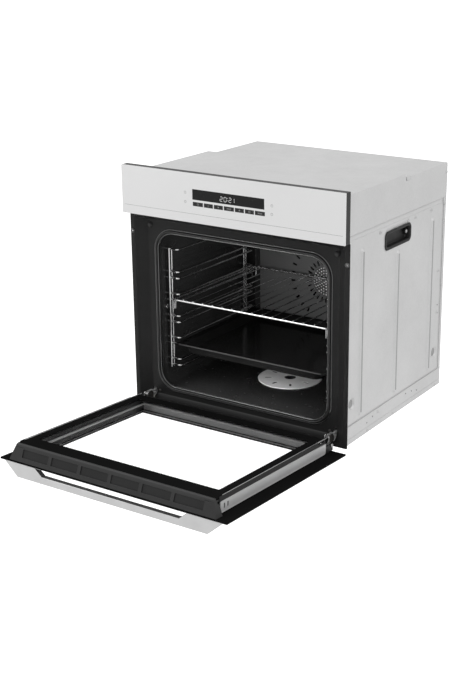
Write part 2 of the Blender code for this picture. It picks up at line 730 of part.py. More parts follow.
def cooling_motor():
    motor = rod((103, BLOWER_Y, BLOWER_Z), (140, BLOWER_Y, BLOWER_Z), 24.0, sides=20)
    join(motor, block((108, BLOWER_Y - 26, PARTITION + SHEET + GAP), (134, BLOWER_Y + 26, BLOWER_Z - 8)))
    cut(motor, rod((90, BLOWER_Y, BLOWER_Z), (118, BLOWER_Y, BLOWER_Z), 5.0, sides=12))
    return finish(motor, "cooling_motor", "steel", smooth=True)


def electronics():
    base = PARTITION + SHEET + GAP
    power = block((-235, 70, base), (-115, 190, base + 10))
    join(power, block((-225, 80, base + 9), (-185, 130, base + 34)))
    join(power, block((-170, 95, base + 9), (-140, 120, base + 26)))
    join(power, rod((-150, 160, base + 9), (-150, 160, base + 30), 9.0))
    finish(power, "power_board", "circuit_board")
    terminals = block((180, 470, base), (230, 515, base + 12))
    for i in range(3):
        x = 188 + 16 * i
        join(terminals, block((x - 5, 475, base + 11), (x + 5, 510, base + 24)))
    finish(terminals, "terminal_block", "black_plastic")


# ---------------------------------------------------------------- control panel


def control_panel():
    panel = mirrored_block(FRONT_HALF, 0, PANEL_BOTTOM, GLASS, PANEL_TOP)
    finish(panel, "control_glass", "white_glass")
    wall = 2.5
    housing = mirrored_block(FRONT_HALF, GLASS + GAP, PANEL_BOTTOM, PANEL_BACK, PANEL_TOP)
    low = (-FRONT_HALF + wall, GLASS + GAP + wall, PANEL_BOTTOM + wall)
    cut(housing, block(low, (FRONT_HALF - wall, PANEL_BACK + 5, PANEL_TOP - wall)))
    cut(housing, mirrored_block(110, 0, 512, 10, 568))
    finish(housing, "control_housing", "charcoal_plastic")
    finish(mirrored_block(100, GLASS + GAP, 534, 15, 564), "display_module", "black_plastic")
    finish(mirrored_block(104, GLASS + GAP, 517, 6.2, 533), "touch_board", "circuit_board")


# ---------------------------------------------------------------- racks, shelf and tray


def side_rack(side, word):
    """Wire ladder: five pairs of rails and a top rail, on front and back pairs of uprights."""
    wall = CAVITY_HALF - 0.6
    heights = [FIRST_RAIL + LEVEL_STEP * i + PAIR_STEP * j for i in range(LEVELS) for j in (0, 1)]
    heights.append(TOP_RAIL)
    uprights = []
    for y in (RACK_FRONT, RACK_BACK):
        for shift in (-4.7, 4.7):
            x = side * UPRIGHT_X
            uprights.append(tube([(x, y + shift, FIRST_RAIL - 6), (x, y + shift, TOP_RAIL + 4)], RAIL_WIRE))
    rack = uprights[0]
    rails = []
    for z in heights:
        corners = [
            (side * wall, RACK_FRONT, z),
            (side * RAIL_X, RACK_FRONT, z),
            (side * RAIL_X, RACK_BACK, z),
            (side * wall, RACK_BACK, z),
        ]
        rails.append(tube(bent(corners, 6.0, steps=2), RAIL_WIRE, fine=False))
    join(rack, *rails)
    join(rack, *uprights[1:])
    return finish(rack, "side_rack_" + word, "chrome_wire", smooth=True)


SHELF_HALF = 213.5
SHELF_FRONT = 74.0
SHELF_BACK = 424.0


def wire_shelf():
    """Wire shelf: a frame, thin bars front to back and four turned-down loops."""
    z = FIRST_RAIL + LEVEL_STEP * SHELF_LEVEL + RAIL_WIRE + GAP + RAIL_WIRE
    corners = []
    for x, y, start in (
        (SHELF_HALF - 8, SHELF_BACK - 8, 0),
        (-SHELF_HALF + 8, SHELF_BACK - 8, 90),
        (-SHELF_HALF + 8, SHELF_FRONT + 8, 180),
        (SHELF_HALF - 8, SHELF_FRONT + 8, 270),
    ):
        for i in range(4):
            turn = math.radians(start + 30 * i)
            corners.append((x + 8 * math.cos(turn), y + 8 * math.sin(turn), z))
    shelf = tube(corners, RAIL_WIRE, closed=True)
    for i in range(14):
        x = -182 + 28 * i
        bar = tube([(x, SHELF_FRONT - 1.0, z + 3.2), (x, SHELF_BACK + 1.0, z + 3.2)], 1.4, fine=False)
        join(shelf, bar)
    for side in (-1, 1):
        for y in (SHELF_FRONT + 22, SHELF_BACK - 26):
            x = side * 196.0
            foot = [(x, y - 12, z + 3.2), (x, y - 8, z - 18), (x, y + 8, z - 18), (x, y + 12, z + 3.2)]
            loop = tube(bent(foot, 4.0, steps=2), 1.6, fine=False)
            tie = tube([(x, y - 20, z + 3.2), (x, y + 20, z + 3.2)], 1.4, fine=False)
            link = tube([(side * 182, y - 16, z + 3.2), (x + side, y - 16, z + 3.2)], 1.4, fine=False)
            join(shelf, tie, loop, link)
    made = finish(shelf, "wire_shelf", "chrome_wire", smooth=True)
    hang("wire_shelf_slide", place(0, SHELF_FRONT, z), 0, [made])


TRAY_HALF = 212.0
TRAY_FRONT = 72.0
TRAY_BACK = 426.0
TRAY_DEPTH = 22.0


def baking_tray():
    """Pressed enamel tray whose rim slides on a pair of rails."""
    rail = FIRST_RAIL + LEVEL_STEP * TRAY_LEVEL + RAIL_WIRE
    low = rail + GAP
    top = low + 1.4
    inset = 16.0
    rim = rounded_block((-TRAY_HALF, TRAY_FRONT, low), (TRAY_HALF, TRAY_BACK, top), 10, 2)
    half = TRAY_HALF - inset
    bottom = top - TRAY_DEPTH
    low_corner = (-half, TRAY_FRONT + 6, bottom)
    join(rim, rounded_block(low_corner, (half, TRAY_BACK - 10, top - 0.7), 22, 2))
    low_corner = (-half + 1.3, TRAY_FRONT + 7.3, bottom + 1.3)
    cut(rim, rounded_block(low_corner, (half - 1.3, TRAY_BACK - 11.3, top + 9), 21, 2))
    join(rim, tube([(-TRAY_HALF + 9, TRAY_FRONT + 2, top), (TRAY_HALF - 9, TRAY_FRONT + 2, top)], 2.4))
    made = finish(rim, "baking_tray", "black_enamel", smooth=True)
    hang("baking_tray_slide", place(0, TRAY_FRONT, top), 0, [made])


# ---------------------------------------------------------------- hinges

LOCK_Y = 37.0
LOCK_Z = 31.5
ARM_HALF = 2.2


def hinge_receiver(side, word):
    """Steel pocket behind the frame that the hinge arm hooks into."""
    pocket = side_block(side, HINGE_X - 8, CASE_FRONT + 0.5, 12, HINGE_X + 7, 92, 54)
    cut(pocket, side_block(side, HINGE_X - 6.5, CASE_FRONT - 8, 14, HINGE_X + 5.5, 90, 50))
    return finish(pocket, "hinge_receiver_" + word, "steel")


def hinge_arm(side, word):
    """Flat arm from the hinge pin into the receiver, with a hook at its back."""
    outline = [
        (HINGE_Y - 5.5, HINGE_Z - 4.5),
        (HINGE_Y + 4, HINGE_Z - 6.0),
        (23.6, 12),
        (24.4, 18),
        (66, 19.5),
        (66, 24),
        (72, 24),
        (72, 37),
        (58, 39),
        (42, 36.5),
        (31, 33.0),
        (HINGE_Y - 4.5, HINGE_Z + 6.5),
        (HINGE_Y - 6.5, HINGE_Z),
    ]
    low, high = sorted((side * HINGE_X - ARM_HALF, side * HINGE_X + ARM_HALF))
    arm = plate(outline, low, high, "x")
    cut(arm, rod((low - 5, HINGE_Y, HINGE_Z), (high + 5, HINGE_Y, HINGE_Z), 3.0 + GAP, sides=12))
    pin = rod((side * HINGE_X - 7, LOCK_Y, LOCK_Z), (side * HINGE_X + 7, LOCK_Y, LOCK_Z), 1.8, sides=10)
    join(arm, pin)
    return finish(arm, "hinge_arm_" + word, "steel")


def hinge_lock(side, word):
    """U-shaped catch that turns on the hinge arm and frees the door when it is lifted."""
    x = side * HINGE_X
    cheek = [
        (LOCK_Y + 4, LOCK_Z - 3.5),
        (LOCK_Y + 4, LOCK_Z + 4),
        (LOCK_Y - 4, LOCK_Z + 7),
        (LOCK_Y - 27, LOCK_Z + 7),
        (LOCK_Y - 27, LOCK_Z + 1.5),
        (LOCK_Y - 6, LOCK_Z - 3.5),
    ]
    lock = plate(cheek, x - 4.6, x - 3.2, "x")
    join(lock, plate(cheek, x + 3.2, x + 4.6, "x"))
    join(lock, block((x - 4.4, LOCK_Y - 27, LOCK_Z + 1.6), (x + 4.4, LOCK_Y - 25.4, LOCK_Z + 6.9)))
    cut(lock, rod((x - 9, LOCK_Y, LOCK_Z), (x + 9, LOCK_Y, LOCK_Z), 1.8 + GAP, sides=10))
    made = finish(lock, "hinge_lock_" + word, "steel")
    hang("hinge_lock_axis_" + word, place(x, LOCK_Y, LOCK_Z), 0, [made])


# ---------------------------------------------------------------- door


def door_post(side, word):
    """Hinge body and side channel of the door: a long channel with two cheeks at the pin."""
    inside = HINGE_X - 8.0
    back = INNER_FACE - GLASS - GAP
    front = GLASS + GAP
    post = side_block(side, inside, front, 46, DOOR_INNER_HALF, back, 454)
    cut(post, side_block(side, inside + 1.2, front + 1.2, 20, DOOR_INNER_HALF - 1.2, back + 9, 470))
    join(post, side_block(side, DOOR_INNER_HALF - 1.2, back - 2, 76, DOOR_INNER_HALF, INNER_FACE + 1, 454))
    for low in (inside, DOOR_INNER_HALF - 2.0):
        join(post, side_block(side, low, front + 1, 9.5, low + 2.0, 23, 60))
    x = side * (inside - 3)
    hole = rod((x, HINGE_Y, HINGE_Z), (side * (DOOR_INNER_HALF + 3), HINGE_Y, HINGE_Z), 3.0 + GAP, sides=12)
    cut(post, hole)
    return finish(post, "door_post_" + word, "black_plastic")


def hinge_pin(side, word):
    ends = (side * (HINGE_X - 9.5), side * (DOOR_INNER_HALF + 1.5))
    pin = rod((ends[0], HINGE_Y, HINGE_Z), (ends[1], HINGE_Y, HINGE_Z), 3.0, sides=12)
    return finish(pin, "hinge_pin_" + word, "steel", smooth=True)


def door_side_strip(side, word):
    """Plain metal strip on the side of the door, with two slots near its free end."""
    low_x = DOOR_INNER_HALF + GAP
    strip = side_block(side, low_x, 6.5, 44, low_x + 1.2, 31, 452)
    for z in (424, 436):
        cut(strip, side_block(side, low_x - 5, 14, z, low_x + 5, 25, z + 4))
    return finish(strip, "door_side_strip_" + word, "galvanised")


def door_bottom_rail():
    front = GLASS + GAP
    back = INNER_FACE - GLASS - GAP
    rail = mirrored_block(HINGE_X - 8 - GAP, front, 28, back, 45)
    cut(rail, mirrored_block(300, front + 1.5, 20, back - 1.5, 38))
    cut(rail, mirrored_block(244, 19.5, 40, 24.5, 60))
    return finish(rail, "door_bottom_rail", "black_plastic")


TRIM_HALF = 271.0
TRIM_TAPER = 14.0


def door_trim():
    """Moulded cap on the door's free edge: a sloping face with six recessed vents."""
    low_z = 463.0
    front = GLASS + GAP
    outline = [
        (front, low_z - 8),
        (front, DOOR_HIGH - 0.5),
        (front + 3, DOOR_HIGH - 0.5),
        (INNER_FACE - 2, low_z + 4),
        (INNER_FACE + 0.6, low_z + 1),
        (INNER_FACE + 0.6, low_z - 0.6),
        (INNER_FACE - GLASS - GAP, low_z - 0.6),
        (INNER_FACE - GLASS - GAP, low_z - 8),
    ]
    trim = plate(outline, -TRIM_HALF, TRIM_HALF, "x")
    cut(trim, mirrored_block(DOOR_INNER_HALF + 1, front + 2, low_z - 20, INNER_FACE - GLASS - 3, low_z - 2))
    for side in (-1, 1):
        end = block((0, BASE_CENTRE - 90, -60), (30, BASE_CENTRE + 90, 60))
        turn = Matrix.Rotation(math.radians(TRIM_TAPER), 4, "Z")
        mirror = Matrix.Diagonal((side, 1, 1, 1)) if side > 0 else Matrix.Rotation(math.pi, 4, "Z")
        lean = turn if side > 0 else turn.inverted()
        corner = Matrix.Translation((side * TRIM_HALF * MM, (front - BASE_CENTRE) * MM, low_z * MM))
        end.matrix_world = corner @ lean @ mirror
        cut(trim, end)
    slope = math.atan2(DOOR_HIGH - 0.5 - low_z - 4, INNER_FACE - 2 - front - 3)
    middle_y = (front + 3 + INNER_FACE - 2) / 2
    middle_z = (DOOR_HIGH - 0.5 + low_z + 4) / 2
    for i in range(6):
        x = -201.5 + 80.6 * i
        vent = block((-36, BASE_CENTRE - 9, -2), (36, BASE_CENTRE + 9, 9))
        centre = Matrix.Translation((x * MM, (middle_y - BASE_CENTRE) * MM, middle_z * MM))
        vent.matrix_world = centre @ Matrix.Rotation(-slope, 4, "X")
        cut(trim, vent)
    return finish(trim, "door_trim", "charcoal_plastic")


def door_glasses():
    outer = mirrored_block(FRONT_HALF, 0, DOOR_LOW, GLASS, DOOR_HIGH)
    inner = mirrored_block(DOOR_INNER_HALF - 1.2 - GAP, INNER_FACE - GLASS, INNER_LOW + GAP, INNER_FACE, INNER_HIGH)
    middle = mirrored_block(243.5, 20, 40.5, 24, 453)
    return [
        finish(outer, "door_outer_glass", "white_glass"),
        finish(middle, "door_middle_glass", "door_glass"),
        finish(inner, "door_inner_glass", "door_glass"),
    ]


def handle():
    """Full-width bar handle standing off the outer glass on two slanted feet."""
    outline = [
        (-283, -GAP),
        (-247, -32),
        (247, -32),
        (283, -GAP),
        (197, -GAP),
        (177, -16.5),
        (-177, -16.5),
        (-197, -GAP),
    ]
    return finish(plate(outline, 464, 477, "z"), "handle", "silver_handle")


def door():
    pieces = sides(door_post)
    pieces += sides(hinge_pin)
    pieces += sides(door_side_strip)
    pieces += door_glasses()
    pieces += [door_bottom_rail(), door_trim(), handle()]
    return pieces


# the door's own cutters are the ones made while it is built
cutters_before = set(CUTTERS.objects)
door_pieces = door()
door_cutters = [item for item in CUTTERS.objects if item not in cutters_before]
hang("door_hinge_axis", place(0, HINGE_Y, HINGE_Z), OPEN_ANGLE, door_pieces + door_cutters)

top_cover()
sides(side_panel)
sides(hand_grip)
rear_panel()
cable_gland()
base_tray()
partition_plate()
front_frame()
sides(frame_bush)
sides(door_buffer)
cavity_liner()
cavity_insulation()
cavity_gasket()
floor_disc()
heating_elements()
fan_cover()
convection_fan()
fan_motor()
lamp()
steam_outlet()
temperature_probe()
air_duct()
cooling_impeller()
cooling_motor()
electronics()
control_panel()
sides(side_rack)
wire_shelf()
baking_tray()
sides(hinge_receiver)
sides(hinge_arm)
sides(hinge_lock)
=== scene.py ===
"""Looks of a built-in wall oven with its door open: its finishes, and the fine pieces drawn round the fixed frame.

Lengths are in millimetres: x to the right, y back from the front face of the control panel, z up from the base.
A shape is a pair (points, faces).  piece() turns one into an object in metres about the base's centre.
"""
import json
import math

import bmesh
import bpy
import numpy as np
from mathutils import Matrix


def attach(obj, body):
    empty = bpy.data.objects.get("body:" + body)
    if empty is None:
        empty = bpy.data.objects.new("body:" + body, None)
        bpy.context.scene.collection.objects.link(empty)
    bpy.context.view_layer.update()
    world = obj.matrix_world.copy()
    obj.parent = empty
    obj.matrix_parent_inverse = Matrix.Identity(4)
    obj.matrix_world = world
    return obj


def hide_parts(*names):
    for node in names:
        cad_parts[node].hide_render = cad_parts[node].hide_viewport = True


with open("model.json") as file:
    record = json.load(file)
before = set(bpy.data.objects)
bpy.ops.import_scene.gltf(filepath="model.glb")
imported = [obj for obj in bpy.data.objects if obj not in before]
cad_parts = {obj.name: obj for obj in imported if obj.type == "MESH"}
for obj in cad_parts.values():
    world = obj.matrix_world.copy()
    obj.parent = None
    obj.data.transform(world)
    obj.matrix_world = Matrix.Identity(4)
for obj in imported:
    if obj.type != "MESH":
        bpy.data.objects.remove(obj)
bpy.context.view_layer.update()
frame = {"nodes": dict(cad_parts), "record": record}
NODES = frame["nodes"]
PI = math.pi
SIDES = ((-1, "left"), (1, "right"))

MM_PER_M = 1000.0
WELD = 1e-6
BASE_CENTRE = 290.0
HINGE_X, HINGE_Y, HINGE_Z = 254.0, 17.65, 14.2
OPEN_ANGLE = 86.5


# ---------------------------------------------------------------- shapes


def grid_faces(rows, columns, wrap_rows=False, wrap_columns=True):
    """Quads between neighbouring points of a grid, joined round where a direction wraps."""
    i = np.arange(rows if wrap_rows else rows - 1)[:, None]
    j = np.arange(columns if wrap_columns else columns - 1)[None, :]
    below = (i + 1) % rows * columns
    right = (j + 1) % columns
    quads = np.stack([i * columns + j, i * columns + right, below + right, below + j], -1)
    return quads.reshape(-1, 4).tolist()


def merged(*shapes):
    """Several shapes as one."""
    points, faces, count = [], [], 0
    for some, polygons in shapes:
        points.append(np.asarray(some, float).reshape(-1, 3))
        faces += [[count + i for i in polygon] for polygon in polygons]
        count += len(points[-1])
    return np.concatenate(points), faces


def laid(u, v, w, axis):
    """Points with w along the axis and (u, v) across it, in the order x, y, z."""
    order = {"x": (w, u, v), "y": (u, w, v), "z": (u, v, w)}[axis]
    return np.stack(np.broadcast_arrays(*order), -1)


def rings(rows, axis="y", steps=8, closed=False, caps=(True, True)):
    """A skin over rounded rectangles, each (left, right, low, high, radius, place on the axis).

    A point is a corner's centre plus the radius times (cos t, sin t), with t from 0 to a quarter turn at each corner.
    """
    left, right, low, high, radius, along = np.asarray(rows, float).T[:, :, None]
    corner = np.repeat(np.arange(4), steps + 1)
    t = (np.arange(4)[:, None] + np.linspace(0, 1, steps + 1)).ravel() * PI / 2
    u = np.where(corner % 3 == 0, right - radius, left + radius) + radius * np.cos(t)
    v = np.where(corner < 2, high - radius, low + radius) + radius * np.sin(t)
    count = len(t)
    faces = grid_faces(len(rows), count, wrap_rows=closed)
    if not closed and caps[0]:
        faces.append(list(range(count)))
    if not closed and caps[1]:
        faces.append(list(range(count * (len(rows) - 1), count * len(rows))))
    return laid(u, v, along, axis).reshape(-1, 3), faces


def bent(corners, radius, steps=5):
    """A path through the corners, with an arc of the radius at each inner one."""
    corners = np.asarray(corners, float)
    path = [corners[:1]]
    for before, here, after in zip(corners, corners[1:], corners[2:]):
        a = (before - here) / np.linalg.norm(before - here)
        b = (after - here) / np.linalg.norm(after - here)
        half = math.acos(np.clip(a @ b, -1, 1)) / 2
        centre = here + (a + b) / np.linalg.norm(a + b) * radius / math.sin(half)
        start = here + a * radius / math.tan(half) - centre
        end = here + b * radius / math.tan(half) - centre
        s = np.linspace(0, 1, steps + 1)[:, None]
        sweep = PI - 2 * half
        path.append(centre + (start * np.sin((1 - s) * sweep) + end * np.sin(s * sweep)) / math.sin(sweep))
    return np.concatenate(path + [corners[-1:]])


def wire(path, radius, normal, sides=10, closed=False):
    """A round wire along a flat path: path + radius (n cos t + b sin t), n the path's normal, b across both."""
    path = np.asarray(path, float)
    ahead = np.roll(path, -1, 0) - np.roll(path, 1, 0) if closed else np.gradient(path, axis=0)
    n = np.asarray(normal, float)
    b = np.cross(ahead, n)
    b /= np.linalg.norm(b, axis=1)[:, None]
    t = np.linspace(0, 2 * PI, sides, endpoint=False)[None, :, None]
    points = path[:, None] + radius * (n * np.cos(t) + b[:, None] * np.sin(t))
    faces = grid_faces(len(path), sides, wrap_rows=closed)
    if not closed:
        faces += [list(range(sides)), list(range(sides * (len(path) - 1), sides * len(path)))]
    return points.reshape(-1, 3), faces


def turned(profile, centre, axis="x", sides=24, direction=1, hollow=False):
    """A profile of (radius, height) turned about an axis through centre: (r cos t, r sin t) across, the height along.

    A hollow profile is closed on itself and keeps off the axis; any other is capped at both ends.
    """
    radius, height = np.asarray(profile, float).T[:, :, None]
    t = np.linspace(0, 2 * PI, sides, endpoint=False)
    points = laid(radius * np.cos(t), radius * np.sin(t), direction * height, axis) + np.asarray(centre, float)
    count = len(profile)
    faces = grid_faces(count, sides, wrap_rows=hollow)
    if not hollow:
        faces += [list(range(sides)), list(range(sides * (count - 1), sides * count))]
    return points.reshape(-1, 3), faces


def prism(outline, low, high, axis="y"):
    """A flat outline of (u, v) points carried from low to high along the axis."""
    u, v = np.asarray(outline, float).T
    count = len(u)
    points = laid(np.tile(u, (2, 1)), np.tile(v, (2, 1)), np.array([[low], [high]]), axis)
    faces = grid_faces(2, count) + [list(range(count)), list(range(count, 2 * count))]
    return points.reshape(-1, 3), faces


def plate(left, right, low, high, near, far, axis="y"):
    """A plain rectangular plate between near and far on the axis."""
    return prism([(left, low), (right, low), (right, high), (left, high)], near, far, axis)


def pierced(outer, holes, near, far, axis="y"):
    """A flat sheet with an outline and holes, filled between them and given its thickness from near to far."""
    curve = bpy.data.curves.new("sheet", "CURVE")
    curve.dimensions = "2D"
    curve.fill_mode = "BOTH"
    curve.extrude = abs(far - near) / 2
    for loop in [outer] + list(holes):
        spline = curve.splines.new("POLY")
        spline.points.add(len(loop) - 1)
        flat = np.zeros((len(loop), 4))
        flat[:, :2] = loop
        flat[:, 3] = 1
        spline.points.foreach_set("co", flat.ravel())
        spline.use_cyclic_u = True
    carrier = bpy.data.objects.new("sheet", curve)
    mesh = bpy.data.meshes.new_from_object(carrier)
    points = np.zeros(len(mesh.vertices) * 3)
    mesh.vertices.foreach_get("co", points)
    u, v, w = points.reshape(-1, 3).T
    faces = [list(polygon.vertices) for polygon in mesh.polygons]
    bpy.data.objects.remove(carrier)
    bpy.data.curves.remove(curve)
    bpy.data.meshes.remove(mesh)
    return laid(u, v, w + (near + far) / 2, axis), faces


def circle(u, v, radius, sides=16):
    """Points round a circle."""
    t = np.linspace(0, 2 * PI, sides, endpoint=False)
    return np.stack([u + radius * np.cos(t), v + radius * np.sin(t)], 1)


def slot_loop(u, v, turn, inner, outer, half, sides=6):
    """A round-ended radial slot about (u, v): two half circles of the slot's half width, turned by an angle."""
    t = np.linspace(-PI / 2, PI / 2, sides)
    along = np.concatenate([outer - half + half * np.cos(t), inner + half - half * np.cos(t)])
    across = half * np.concatenate([np.sin(t), -np.sin(t)])
    c, s = math.cos(turn), math.sin(turn)
    return np.stack([u + along * c - across * s, v + along * s + across * c], 1)


def rounded(left, right, low, high, radius, steps=6):
    """Points round a rectangle with round corners."""
    points, _ = rings([(left, right, low, high, radius, 0)], "z", steps)
    return points[:, :2]


def opened(points):
    """Points of the closed door turned about the hinge line to where the open door lies."""
    turn = math.radians(OPEN_ANGLE)
    x, y, z = np.asarray(points, float).T
    y, z = y - HINGE_Y, z - HINGE_Z
    c, s = math.cos(turn), math.sin(turn)
    return np.stack([x, HINGE_Y + y * c - z * s, HINGE_Z + y * s + z * c], 1)


def mesh_of(name, points, faces, weld=False, smooth=False):
    """A mesh in metres about the base's centre, with its faces turned outwards."""
    mesh = bpy.data.meshes.new(name)
    points = np.asarray(points, float) - (0, BASE_CENTRE, 0)
    mesh.from_pydata((points / MM_PER_M).tolist(), [], faces)
    work = bmesh.new()
    work.from_mesh(mesh)
    if weld:
        bmesh.ops.remove_doubles(work, verts=work.verts, dist=WELD)
    bmesh.ops.recalc_face_normals(work, faces=work.faces)
    for face in work.faces:
        face.smooth = smooth
    work.to_mesh(mesh)
    work.free()
    return mesh


def linked(name, data):
    """A new object of a mesh, a lamp or a camera, placed in the scene."""
    made = bpy.data.objects.new(name, data)
    bpy.context.scene.collection.objects.link(made)
    return made


def soften(made, width, angle=40):
    """A small rounding on a piece's edges sharper than the angle in degrees."""
    edge = made.modifiers.new("edge", "BEVEL")
    edge.width = width / MM_PER_M
    edge.segments = 2
    edge.limit_method = "ANGLE"
    edge.angle_limit = math.radians(angle)


def piece(name, shape, finish, body="case", stands_for=(), bevel=0.0, sharp=32, weld=True):
    """An object of a shape, with its finish, its body and the frame nodes that it stands for."""
    points, faces = shape
    if body == "door":
        points = opened(points)
    mesh = mesh_of(name, points, faces, weld, smooth=True)
    mesh.set_sharp_from_angle(angle=math.radians(sharp))
    mesh.materials.append(finish)
    made = linked(name, mesh)
    if bevel:
        soften(made, bevel)
    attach(made, body)
    if stands_for:
        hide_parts(*stands_for)
    return made


def drill(made, shape):
    """Cuts a shape out of a finished piece and applies the cut."""
    cutter = linked("cutter", mesh_of("cutter", *shape))
    cut = made.modifiers.new("holes", "BOOLEAN")
    cut.operation = "DIFFERENCE"
    cut.solver = "EXACT"
    cut.object = cutter
    bpy.context.view_layer.update()
    solid = bpy.data.meshes.new_from_object(made.evaluated_get(bpy.context.evaluated_depsgraph_get()))
    made.modifiers.clear()
    made.data = solid
    solid.set_sharp_from_angle(angle=math.radians(40))
    bpy.data.objects.remove(cutter)


# ---------------------------------------------------------------- finishes


def new_group(name, inputs, outputs):
    """An empty shader node group with these named sockets."""
    group = bpy.data.node_groups.new(name, "ShaderNodeTree")
    for label, kind, value in inputs:
        socket = group.interface.new_socket(label, in_out="INPUT", socket_type=kind)
        socket.default_value = value
    for label, kind in outputs:
        group.interface.new_socket(label, in_out="OUTPUT", socket_type=kind)
    return group, group.nodes.new("NodeGroupInput"), group.nodes.new("NodeGroupOutput")


def feed(tree, socket, value):
    """Links a socket to another node's output, or sets it to a fixed value."""
    if isinstance(value, bpy.types.NodeSocket):
        tree.links.new(value, socket)
    else:
        socket.default_value = value


def object_place(tree, scale=None):
    """The Object coordinate, stretched by a scale where one is given."""
    place = tree.nodes.new("ShaderNodeTexCoord").outputs["Object"]
    if scale is None:
        return place
    stretch = tree.nodes.new("ShaderNodeVectorMath")
    stretch.operation = "MULTIPLY"
    feed(tree, stretch.inputs[0], place)
    feed(tree, stretch.inputs[1], scale)
    return stretch.outputs[0]


def times(tree, value, factor):
    """A value multiplied by a fixed factor."""
    product = tree.nodes.new("ShaderNodeMath")
    product.operation = "MULTIPLY"
    product.inputs[1].default_value = factor
    feed(tree, product.inputs[0], value)
    return product.outputs[0]


def blended(tree, share, low, high):
    """A colour between two, by a share."""
    mix = tree.nodes.new("ShaderNodeMix")
    mix.data_type = "RGBA"
    for label, value in (("Factor", share), ("A", low), ("B", high)):
        feed(tree, mix.inputs[label], value)
    return mix.outputs["Result"]


def ranged(tree, value, low, high, from_low=0.3, from_high=0.7):
    """A value carried from one range to another; 0.3 to 0.7 is a noise's usual range."""
    span = tree.nodes.new("ShaderNodeMapRange")
    given = (("Value", value), ("From Min", from_low), ("From Max", from_high), ("To Min", low), ("To Max", high))
    for label, number in given:
        feed(tree, span.inputs[label], number)
    return span.outputs["Result"]


def noise(tree, place, scale, detail=3.0, rough=0.55):
    """A noise texture's value at a place."""
    made = tree.nodes.new("ShaderNodeTexNoise")
    for label, value in (("Vector", place), ("Scale", scale), ("Detail", detail), ("Roughness", rough)):
        feed(tree, made.inputs[label], value)
    return made.outputs["Fac"]


COLOUR, NUMBER, ARROW = "NodeSocketColor", "NodeSocketFloat", "NodeSocketVector"


def mottle_group():
    """Slow cloudy change of colour, and a change of gloss five times finer, as on pressed sheet and mouldings."""
    group, given, out = new_group(
        "mottle",
        [("Scale", NUMBER, 12.0), ("Dark", COLOUR, (0, 0, 0, 1)), ("Light", COLOUR, (1, 1, 1, 1)),
         ("Gloss Low", NUMBER, 0.2), ("Gloss High", NUMBER, 0.4)],
        [("Color", COLOUR), ("Roughness", NUMBER)],
    )
    given = given.outputs
    cloud = noise(group, object_place(group), given["Scale"])
    smear = noise(group, object_place(group), times(group, given["Scale"], 5.0))
    colour = blended(group, ranged(group, cloud, 0.0, 1.0), given["Dark"], given["Light"])
    feed(group, out.inputs["Color"], colour)
    feed(group, out.inputs["Roughness"], ranged(group, smear, given["Gloss Low"], given["Gloss High"]))
    return group


def grain_group():
    """Fine leather-like grain of moulded plastic, or the orange peel of fired enamel, as a height."""
    group, given, out = new_group("grain", [("Scale", NUMBER, 900.0)], [("Height", NUMBER)])
    fine = noise(group, object_place(group), given.outputs["Scale"], 2.0)
    group.links.new(fine, out.inputs["Height"])
    return group


def brush_group():
    """Long thin scratches of rolled or brushed metal: noise stretched by a scale along each axis."""
    group, given, out = new_group(
        "brush", [("Stretch", ARROW, (10, 10, 900))], [("Streak", NUMBER), ("Height", NUMBER)]
    )
    line = noise(group, object_place(group, given.outputs["Stretch"]), 1.0, 4.0, 0.65)
    group.links.new(line, out.inputs["Streak"])
    group.links.new(line, out.inputs["Height"])
    return group


def spangle_group():
    """Faint crystal cells of a zinc coat, each cell a little lighter or darker."""
    group, given, out = new_group("spangle", [("Scale", NUMBER, 220.0)], [("Cell", NUMBER)])
    cells = group.nodes.new("ShaderNodeTexVoronoi")
    group.links.new(object_place(group), cells.inputs["Vector"])
    group.links.new(given.outputs["Scale"], cells.inputs["Scale"])
    split = group.nodes.new("ShaderNodeSeparateColor")
    group.links.new(cells.outputs["Color"], split.inputs[0])
    group.links.new(split.outputs[0], out.inputs["Cell"])
    return group


MOTTLE, GRAIN, BRUSH, SPANGLE = mottle_group(), grain_group(), brush_group(), spangle_group()


def placed(tree, group, **values):
    """A group in a material, with its own values."""
    node = tree.nodes.new("ShaderNodeGroup")
    node.node_tree = group
    for label, value in values.items():
        node.inputs[label.replace("_", " ")].default_value = value
    return node


def grey(level, warm=0.0):
    """A grey, a little warmer where asked."""
    return (level * (1 + warm), level, level * (1 - warm), 1.0)


def finish(name, dark, light, gloss, scale=14.0, bump=None, strength=0.1, depth=0.00004, **fixed):
    """A Principled finish: mottled colour and gloss, a bump from a group, and fixed values on its sockets.

    A plain number for dark or light is a grey.
    """
    made = bpy.data.materials.new(name)
    made.use_nodes = True
    tree = made.node_tree
    shader = tree.nodes["Principled BSDF"]
    dark, light = (colour if isinstance(colour, tuple) else grey(colour) for colour in (dark, light))
    cloud = placed(tree, MOTTLE, Scale=scale, Dark=dark, Light=light, Gloss_Low=gloss[0], Gloss_High=gloss[1])
    tree.links.new(cloud.outputs["Color"], shader.inputs["Base Color"])
    tree.links.new(cloud.outputs["Roughness"], shader.inputs["Roughness"])
    if bump:
        raised = tree.nodes.new("ShaderNodeBump")
        raised.inputs["Strength"].default_value = strength
        raised.inputs["Distance"].default_value = depth
        tree.links.new(placed(tree, bump[0], **bump[1]).outputs["Height"], raised.inputs["Height"])
        tree.links.new(raised.outputs["Normal"], shader.inputs["Normal"])
    for label, value in fixed.items():
        shader.inputs[label.replace("_", " ")].default_value = value
    return made


